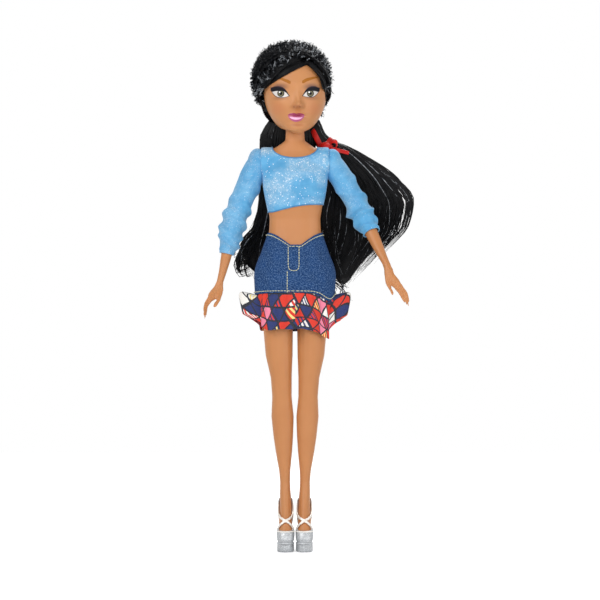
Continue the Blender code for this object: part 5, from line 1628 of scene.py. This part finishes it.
def fall_point(share, across, depth):
    left, right, y, thick = along_rows(FALL_ROWS, share)
    z = NAPE_Z - share * 99 * MM
    tilt = 6 * MM * share
    edge = 35 * MM
    return lock_point((left * edge, z + tilt), (right * edge, z - tilt), y * 9 * MM, thick * 9 * MM, across, depth)


def tail_point(share, across, depth):
    x0, z0, x1, z1, y, thick = along_rows(TAIL_ROWS, share)
    return lock_point(
        (x0 * 65.5 * MM, NAPE_Z - z0 * 99 * MM),
        (x1 * 65.5 * MM, NAPE_Z - z1 * 99 * MM),
        y * 9 * MM,
        thick * 9 * MM,
        across,
        depth,
    )


def lock_strands(point_at, count, start, steps, wave, curl_reach):
    """Strands along a lock, most of them near its surface. Waves grow towards the tips, and some tips curl."""
    paths = []
    for n in range(count):
        turn = 2 * math.pi * (n + dice.random()) / count
        spread = dice.uniform(0.55, 1.0) if n % 4 == 0 else dice.uniform(0.9, 1.0)
        across = 0.5 + 0.5 * math.cos(turn) * spread
        depth = math.copysign(spread, math.sin(turn))
        end = dice.uniform(0.72, 1.0)
        phase, pace = dice.uniform(0, 2 * math.pi), dice.uniform(2.2, 3.6)
        strength = wave * dice.uniform(0.5, 1.3)
        curl = curl_reach * dice.uniform(-0.6, 1.0)
        path = []
        for k in range(steps):
            share = mix(start, end, k / (steps - 1))
            point = point_at(share, across, depth)
            grow = max(0.0, share) ** 1.5
            swing = strength * grow * math.sin(phase + pace * 2 * math.pi * share)
            point += Vector((swing, 0.5 * swing * math.cos(phase), 0.25 * swing))
            late = max(0.0, (k / (steps - 1) - 0.78) / 0.22)
            point += Vector((curl * math.sin(late * 2.6 + 0.2) * late, 0, abs(curl) * 0.8 * late**2))
            path.append(point)
        paths.append(path)
    return paths


def tip(share):
    return max(0.12, min(1.0, 5 * share + 0.3, 2.2 * (1 - share) + 0.1))


fall_paths = lock_strands(fall_point, 420, -0.09, 18, 1.6 * MM, -3.0 * MM)
# Curls at the left edge, which turn outwards at hip height
for n in range(70):
    across, depth = dice.uniform(0.0, 0.16), dice.uniform(-1, 1)
    low, high = dice.uniform(0.35, 0.6), dice.uniform(0.80, 0.98)
    reach, drop = dice.uniform(2.5, 6.5) * MM, dice.uniform(0.0, 4.5) * MM
    path = []
    for k in range(14):
        share = k / 13
        point = fall_point(mix(low, high, min(1.0, share * 1.3)), across, depth)
        bend = max(0.0, share - 0.45) / 0.55
        point += Vector((-reach * math.sin(bend * 3.3), 0, -drop * bend + reach * 0.9 * bend**2.2))
        path.append(point)
    fall_paths.append(path)
loose = tube("hair_fall_strands", [p for n, p in enumerate(fall_paths) if n % 16], 0.34 * MM, fibre, 0, False, tip)
hang_from_head(loose)

tail_paths = lock_strands(tail_point, 520, -0.05, 22, 2.0 * MM, 4.0 * MM)
# Flyaways past the tail's outer edge, and frayed ends along its lower edge
for n in range(46):
    start_share = dice.uniform(0.2, 0.45)
    reach = dice.uniform(0.5, 4.5) * MM
    end = dice.uniform(0.62, 0.95)
    path = []
    for k in range(14):
        share = k / 13
        point = tail_point(mix(start_share, end, share), 1.0, 0.0)
        aside = math.sin(math.pi * share * 0.8) + 0.5 * share**2
        point += Vector((reach * aside, 0, reach * 0.5 * math.sin(math.pi * share)))
        path.append(point)
    tail_paths.append(path)
# Frizzy curls along the lower edge of the fan
for n in range(150):
    across, share0 = dice.uniform(0.0, 0.3), dice.uniform(0.42, 0.98)
    root = tail_point(share0, across, dice.uniform(-1, 1))
    ahead = (tail_point(min(1.0, share0 + 0.05), across, 0.0) - tail_point(share0 - 0.02, across, 0.0)).normalized()
    outward = Vector((dice.uniform(-0.2, 1.0), 0, dice.uniform(-1.0, -0.2))).normalized()
    size, phase = dice.uniform(0.8, 2.4) * MM, dice.uniform(0, 6.28)
    path = []
    for k in range(16):
        share = k / 15
        point = root + (ahead * 0.6 + outward * 0.6 * share) * dice.uniform(7.5, 8.5) * MM * share
        turn = phase + 5.5 * share
        point += Vector((math.cos(turn), 0.4 * math.sin(3 * share), math.sin(turn))) * size * share
        path.append(point)
    tail_paths.append(path)
fan = tube("hair_tail_strands", [p for n, p in enumerate(tail_paths) if n % 16], 0.30 * MM, fibre, 0, False, tip)
# Every sixteenth long strand is pale grey instead of black: painted glints
shine = tube("hair_painted_glint_strands", fall_paths[::16] + tail_paths[::16], 0.26 * MM, glint, 0, False, tip)
for piece in (fan, shine):
    hang_from_head(piece)
print("long strands:", len(fall_paths), len(tail_paths))

# %% [markdown]
# ## Ribbon
# Satin ribbon 3 mm wide, woven with long floats, so it shines in bands across its length. It runs from the nape
# along the tail, goes once round it and ends in a half bow: one loop, a knot and one loose end.

# %% Satin
satin, tree, shader = start_material(
    "woven_polyester_satin", {"Roughness": 0.38, "IOR": 1.5, "Specular IOR Level": 0.3}
)
place = object_place(tree)
tint = blended(tree, noise(tree, place, 1 / (3 * MM)), "#A00404", "#EE261C")
set_looks(tree, shader, tint, noise(tree, place, 1 / (0.5 * MM), 1.0), 0.25, 0.08 * MM)
print("material:", satin.name)

# %% Ribbon pieces


def strip(name, path, across, width, thickness):
    """A flat satin ribbon along a path. across gives its width's direction at each share of the path."""
    rows = []
    for k, point in enumerate(path):
        share = k / (len(path) - 1)
        side = across(share) * width / 2
        bow = across(share).cross(path[min(k + 1, len(path) - 1)] - path[max(k - 1, 0)]).normalized()
        row = []
        for j in range(7):
            place = -1 + j / 3
            row.append(point + side * place + bow * 0.12 * MM * (1 - place * place))
        rows.append(row)
    length = sum((b - a).length for a, b in zip(path, path[1:]))
    piece = cloth_sheet(name, rows, False, (width, length), thickness, satin)
    return piece


band = merged_copy("ribbon_band_satin", "ribbon_band")
apply_modifier(band, "SUBSURF", subdivision_type="SIMPLE", levels=1, render_levels=1)
apply_modifier(band, "SMOOTH", factor=0.4, iterations=2)
set_material(smooth_shaded(band, 50), satin)
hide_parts("ribbon_band")
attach(band, frame["nodes"]["ribbon_band"]["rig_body"])

low, high = (Vector(corner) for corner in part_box("ribbon_bow"))
knot_x = low.x + 3.6 * MM
knot = Vector((knot_x, (low.y + high.y) / 2, mix(low.z, high.z, 0.62)))
bpy.ops.mesh.primitive_uv_sphere_add(segments=48, ring_count=28, radius=1, location=(0, 0, 0))
bow_knot = bpy.context.object
bow_knot.name = "ribbon_knot"
for vertex in bow_knot.data.vertices:
    x, y, z = vertex.co
    pleat = 1 + 0.10 * math.sin(7 * math.atan2(z, y) + 2.5 * x)
    vertex.co = knot + Vector((3.3 * MM * x * (1 - 0.15 * z), 2.1 * MM * y * pleat, 2.4 * MM * z * pleat))
set_material(smooth_shaded(bow_knot, 60), satin)
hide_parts("ribbon_bow")
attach(bow_knot, frame["nodes"]["ribbon_bow"]["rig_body"])
loop_path = []
for k in range(33):
    angle = -0.35 * math.pi + 1.7 * math.pi * k / 32
    reach = 4.4 * MM * (0.62 + 0.38 * math.cos(angle))
    loop_path.append(
        knot + Vector((2.0 * MM + 1.15 * reach, -0.3 * MM * math.sin(angle), 1.9 * MM * math.sin(angle) + 0.9 * MM))
    )
end_path = []
for k in range(25):
    share = k / 24
    end_path.append(
        knot
        + Vector((2.0 * MM + 12.0 * MM * share, -0.5 * MM * math.sin(4 * share), -0.6 * MM - 3.6 * MM * share**0.8))
    )
loop = strip("ribbon_loop", loop_path, lambda s: Vector((0.15, 0.65, 0.75)).normalized(), 3.0 * MM, 0.3 * MM)
tie = strip(
    "ribbon_end", end_path, lambda s: Vector((0.2, 0.45 * math.cos(3 * s), 0.9)).normalized(), 2.2 * MM, 0.3 * MM
)
for piece in (loop, tie):
    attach(piece, frame["nodes"]["ribbon_bow"]["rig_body"])
print("ribbon knot at mm:", [round(v / MM, 1) for v in knot])

# %% [markdown]
# ## Closing tapes and hidden parts
# The back closes with hook and loop tape: a woven white strip with a nap of loops. The knob in the neck and the
# axle in the hips are natural nylon, a little yellow, turned smooth.

# %% Tapes and nylon
tape, tree, shader = start_material("woven_loop_tape", {"Roughness": 0.9, "Sheen Weight": 0.4, "IOR": 1.5})
loops = add_node(tree, "ShaderNodeTexVoronoi", {"Vector": object_place(tree), "Scale": 1 / (0.6 * MM)})
nap = loops.outputs["Distance"]
set_looks(tree, shader, blended(tree, nap, "#F1F0EA", "#D5D3CA"), nap, 0.6, 0.2 * MM)
for node in ("top_loop_tape", "top_hook_tape", "skirt_loop_tape", "skirt_hook_tape"):
    piece = merged_copy(f"{node}_woven", node)
    apply_modifier(piece, "BEVEL", width=0.12 * MM, segments=2, limit_method="ANGLE")
    set_material(smooth_shaded(piece, 50), tape)
    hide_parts(node)
    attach(piece, "torso")

nylon = mottled("turned_natural_nylon", {"Roughness": 0.4, "IOR": 1.53}, "#DDD5C2", "#EBE5D6", 0.8)
for node in ("neck_knob", "hip_axle"):
    set_material(frame["nodes"][node], nylon)
print("tapes and nylon parts are finished")

# %% [markdown]
# ## Shoes
# Platform shoes moulded in one from soft vinyl and coated with silver glitter: flakes of about 0.3 mm in clear
# lacquer. The two straps bow outwards: they start at the heel cup, cross on the instep and end in the low sides. They
# are swept over the foot and joined to the shoe before it is made finer. Straps and the toe's rim are pearl white.

# %% Shoe materials
glitter, tree, shader = start_material(
    "glitter_lacquered_vinyl", {"Metallic": 0.45, "Roughness": 0.4, "Coat Weight": 0.3, "Coat Roughness": 0.2}
)
place = object_place(tree)
draws = flake_draws(tree, place, 0.32)
spot = add_node(tree, "ShaderNodeSeparateXYZ", {0: place}).outputs
above = ranged(tree, spot[2], 12.6 * MM, 13.8 * MM)
ahead = ranged(tree, spot[1], 1.5 * MM, -1.5 * MM, 0.0, 0.85)
tint = blended(tree, ranged(tree, draws[0], 0.45, 1.0), "#A6A9AC", "#D2D5D7")
# Straps are paler than the rest: they lie high up and far forward
tint = blended(tree, calculated(tree, "MULTIPLY", above, ahead), tint, "#EFE8DE")
set_looks(tree, shader, tint, draws[2], 0.4, 0.12 * MM, ranged(tree, draws[1], 0.0, 1.0, 0.3, 0.55))
pearl = mottled("pearl_lacquered_vinyl", {"Roughness": 0.3, "Coat Weight": 0.5}, "#E4DED4", "#F8F5EF", 1.2)
print("materials:", glitter.name, pearl.name)

# %% Shoes
STRAP_PATH = [
    # angle round the ankle from the front in degrees, height in mm
    (-128, 28.2),
    (-108, 26.2),
    (-88, 23.6),
    (-62, 21.0),
    (-32, 19.2),
    (0, 17.7),
    (28, 16.3),
    (52, 14.9),
    (72, 13.4),
    (88, 11.8),
]
SHOE_TOPLINE = [(-40, 11.15), (-12.15, 12.6), (-4.4, 12.1), (-1.1, 19.1), (1.65, 26.9), (2.5, 40), (-40, 40)]
STRAP_HALF, STRAP_THICK, STRAP_LIFT = 0.78 * MM, 0.9 * MM, 0.75 * MM
STRAP_STEPS, CROSSING, CROSSING_SPREAD = 60, 31, 6
SECTION = 12


def foot_hit(surface, centre_x, degrees, z):
    """Where a level ray from outside towards the foot's own middle at that height meets a surface."""
    middle_y = -2.3 * MM - min(8.6 * MM, max(0.0, 22 * MM - z) * 0.77)
    angle = math.radians(degrees)
    out = Vector((4.1 * MM * math.sin(angle), -7.0 * MM * math.cos(angle), 0))
    start = Vector((centre_x, middle_y, z)) + 4 * out
    hit, normal = surface.ray_cast(start, -out.normalized())[:2]
    return (hit, normal) if hit else (start - 3 * out, out.normalized())


def strap_mesh(surface, centre_x, hand):
    """One strap over the foot as a closed flat tube with round edges. One of the two lies over the other."""
    path = []
    for k in range(STRAP_STEPS + 1):
        degrees, height = on_curve(STRAP_PATH, k / STRAP_STEPS)
        path.append(foot_hit(surface, centre_x, hand * degrees, height * MM))
    made = bmesh.new()
    rings = []
    for k, (point, normal) in enumerate(path):
        ahead = (path[min(k + 1, STRAP_STEPS)][0] - path[max(k - 1, 0)][0]).normalized()
        across = normal.cross(ahead).normalized()
        raised = 0.25 * MM * math.exp(-(((k - CROSSING) / CROSSING_SPREAD) ** 2)) if hand > 0 else 0.0
        ring = []
        for j in range(SECTION):
            turn = 2 * math.pi * (j + 0.5) / SECTION
            wide = rounded(math.cos(turn), 4) * STRAP_HALF
            deep = math.copysign(abs(math.sin(turn)) ** 0.7, math.sin(turn)) * STRAP_THICK / 2
            ring.append(made.verts.new(point + across * wide + normal * (STRAP_LIFT + raised + deep)))
        rings.append(ring)
    for low, high in zip(rings, rings[1:]):
        for j in range(SECTION):
            made.faces.new((low[j], low[(j + 1) % SECTION], high[(j + 1) % SECTION], high[j]))
    made.faces.new(rings[0][::-1])
    made.faces.new(rings[-1])
    return made


def mesh_object(name, made):
    """An object from a bmesh, with its faces turned outwards."""
    bmesh.ops.recalc_face_normals(made, faces=made.faces)
    mesh = bpy.data.meshes.new(name)
    made.to_mesh(mesh)
    made.free()
    return new_object(name, mesh)


for side in SIDES:
    low, high = (Vector(corner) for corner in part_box(f"shoe_{side}"))
    centre_x = (low.x + high.x) / 2
    foot = surface_of(frame["nodes"][f"leg_{side}"])

    def with_bowed_straps(piece):
        """Takes the straight straps off and joins the bowed ones to what is left."""
        made = bmesh.new()
        ends = [
            [made.verts.new((centre_x + x, y * MM, z * MM)) for y, z in SHOE_TOPLINE] for x in (-15 * MM, 15 * MM)
        ]
        made.faces.new(ends[0])
        made.faces.new(ends[1][::-1])
        for j in range(len(SHOE_TOPLINE)):
            after = (j + 1) % len(SHOE_TOPLINE)
            made.faces.new((ends[0][j], ends[1][j], ends[1][after], ends[0][after]))
        cutter = mesh_object("cutter", made)
        apply_modifier(piece, "BOOLEAN", object=cutter, operation="DIFFERENCE", solver="EXACT")
        bpy.data.objects.remove(cutter)
        straps = [mesh_object("strap", strap_mesh(foot, centre_x, hand)) for hand in (-1, 1)]
        bpy.ops.object.select_all(action="DESELECT")
        for part in (*straps, piece):
            part.select_set(True)
        bpy.context.view_layer.objects.active = piece
        bpy.ops.object.join()
        return piece

    shoe = finer_copy(f"shoe_{side}_glitter", f"shoe_{side}", 0.25 * MM, 4, glitter, with_bowed_straps)
    shell = surface_of(shoe)
    rim_path = [foot_hit(shell, centre_x, degrees, 11.9 * MM)[0] for degrees in range(-78, 79, 3)]
    rim = tube(f"shoe_{side}_rim", [rim_path], 0.42 * MM, pearl, 3)
    welt_path = [foot_hit(shell, centre_x, degrees, 5.1 * MM)[0] for degrees in range(0, 360, 5)]
    welt = tube(f"shoe_{side}_welt", [welt_path], 0.75 * MM, glitter, 3, True)
    for piece in (rim, welt):
        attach(piece, frame["nodes"][f"shoe_{side}"]["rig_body"])
    print("shoe:", side, "triangles about", 2 * len(shoe.data.polygons))

# %% [markdown]
# ## Light and floor
# Soft even studio light, as for a catalogue: a big lamp above left, a weaker one at right and one above behind,
# and a pale world that fills the shadows. The floor is plain white paper. What the camera and mirrors see
# past it is white too.

# %% Floor and lamps
ground = mottled("studio_paper_white", {"Roughness": 0.9, "Specular IOR Level": 0.1}, "#FAFAFA", "#FFFFFF", 40)
# Seen by the camera the paper is lifted to white, and it still takes the doll's shadow
tree = ground.node_tree
camera_ray = add_node(tree, "ShaderNodeLightPath").outputs["Is Camera Ray"]
glow = add_node(
    tree,
    "ShaderNodeEmission",
    {"Color": colour("#FFFFFF"), "Strength": calculated(tree, "MULTIPLY", camera_ray, 0.4)},
)
paper = tree.nodes["Principled BSDF"].outputs[0]
lifted = add_node(tree, "ShaderNodeAddShader", {0: paper, 1: glow.outputs[0]})
tree.links.new(lifted.outputs[0], tree.nodes["Material Output"].inputs["Surface"])
bpy.ops.mesh.primitive_plane_add(size=2.4, location=(0, -0.45, 0))
floor = set_material(bpy.context.object, ground)
floor.name = "floor"

world = bpy.data.worlds.new("studio")
bpy.context.scene.world = world
world.use_nodes = True
tree = world.node_tree
tree.nodes.clear()
rays = add_node(tree, "ShaderNodeLightPath").outputs
seen = calculated(tree, "MAXIMUM", rays["Is Camera Ray"], rays["Is Glossy Ray"])
seen = calculated(tree, "MAXIMUM", seen, rays["Is Transmission Ray"])
fill = add_node(tree, "ShaderNodeBackground", {"Color": colour("#F4F6FA"), "Strength": 0.30})
white = add_node(tree, "ShaderNodeBackground", {"Color": colour("#FFFFFF"), "Strength": 1.0})
both = add_node(tree, "ShaderNodeMixShader", {0: seen, 1: fill.outputs[0], 2: white.outputs[0]})
add_node(tree, "ShaderNodeOutputWorld", {"Surface": both.outputs[0]})

AIM = Vector((0, 0, 160 * MM))
LAMPS = (
    ("key", (-700 * MM, -900 * MM, 750 * MM), 700 * MM, 7.2),
    ("side", (800 * MM, -700 * MM, 350 * MM), 600 * MM, 3.0),
    ("front", (60 * MM, -1300 * MM, 420 * MM), 500 * MM, 2.8),
    ("top", (100 * MM, 500 * MM, 900 * MM), 500 * MM, 5.5),
)
for name, where, size, power in LAMPS:
    bpy.ops.object.light_add(type="AREA", location=where)
    lamp = bpy.context.object
    lamp.name = name
    lamp.data.size = size
    lamp.data.energy = power
    lamp.rotation_euler = (AIM - Vector(where)).to_track_quat("-Z", "Y").to_euler()
bpy.context.scene.view_settings.view_transform = "Standard"
print("lamps:", len(LAMPS))
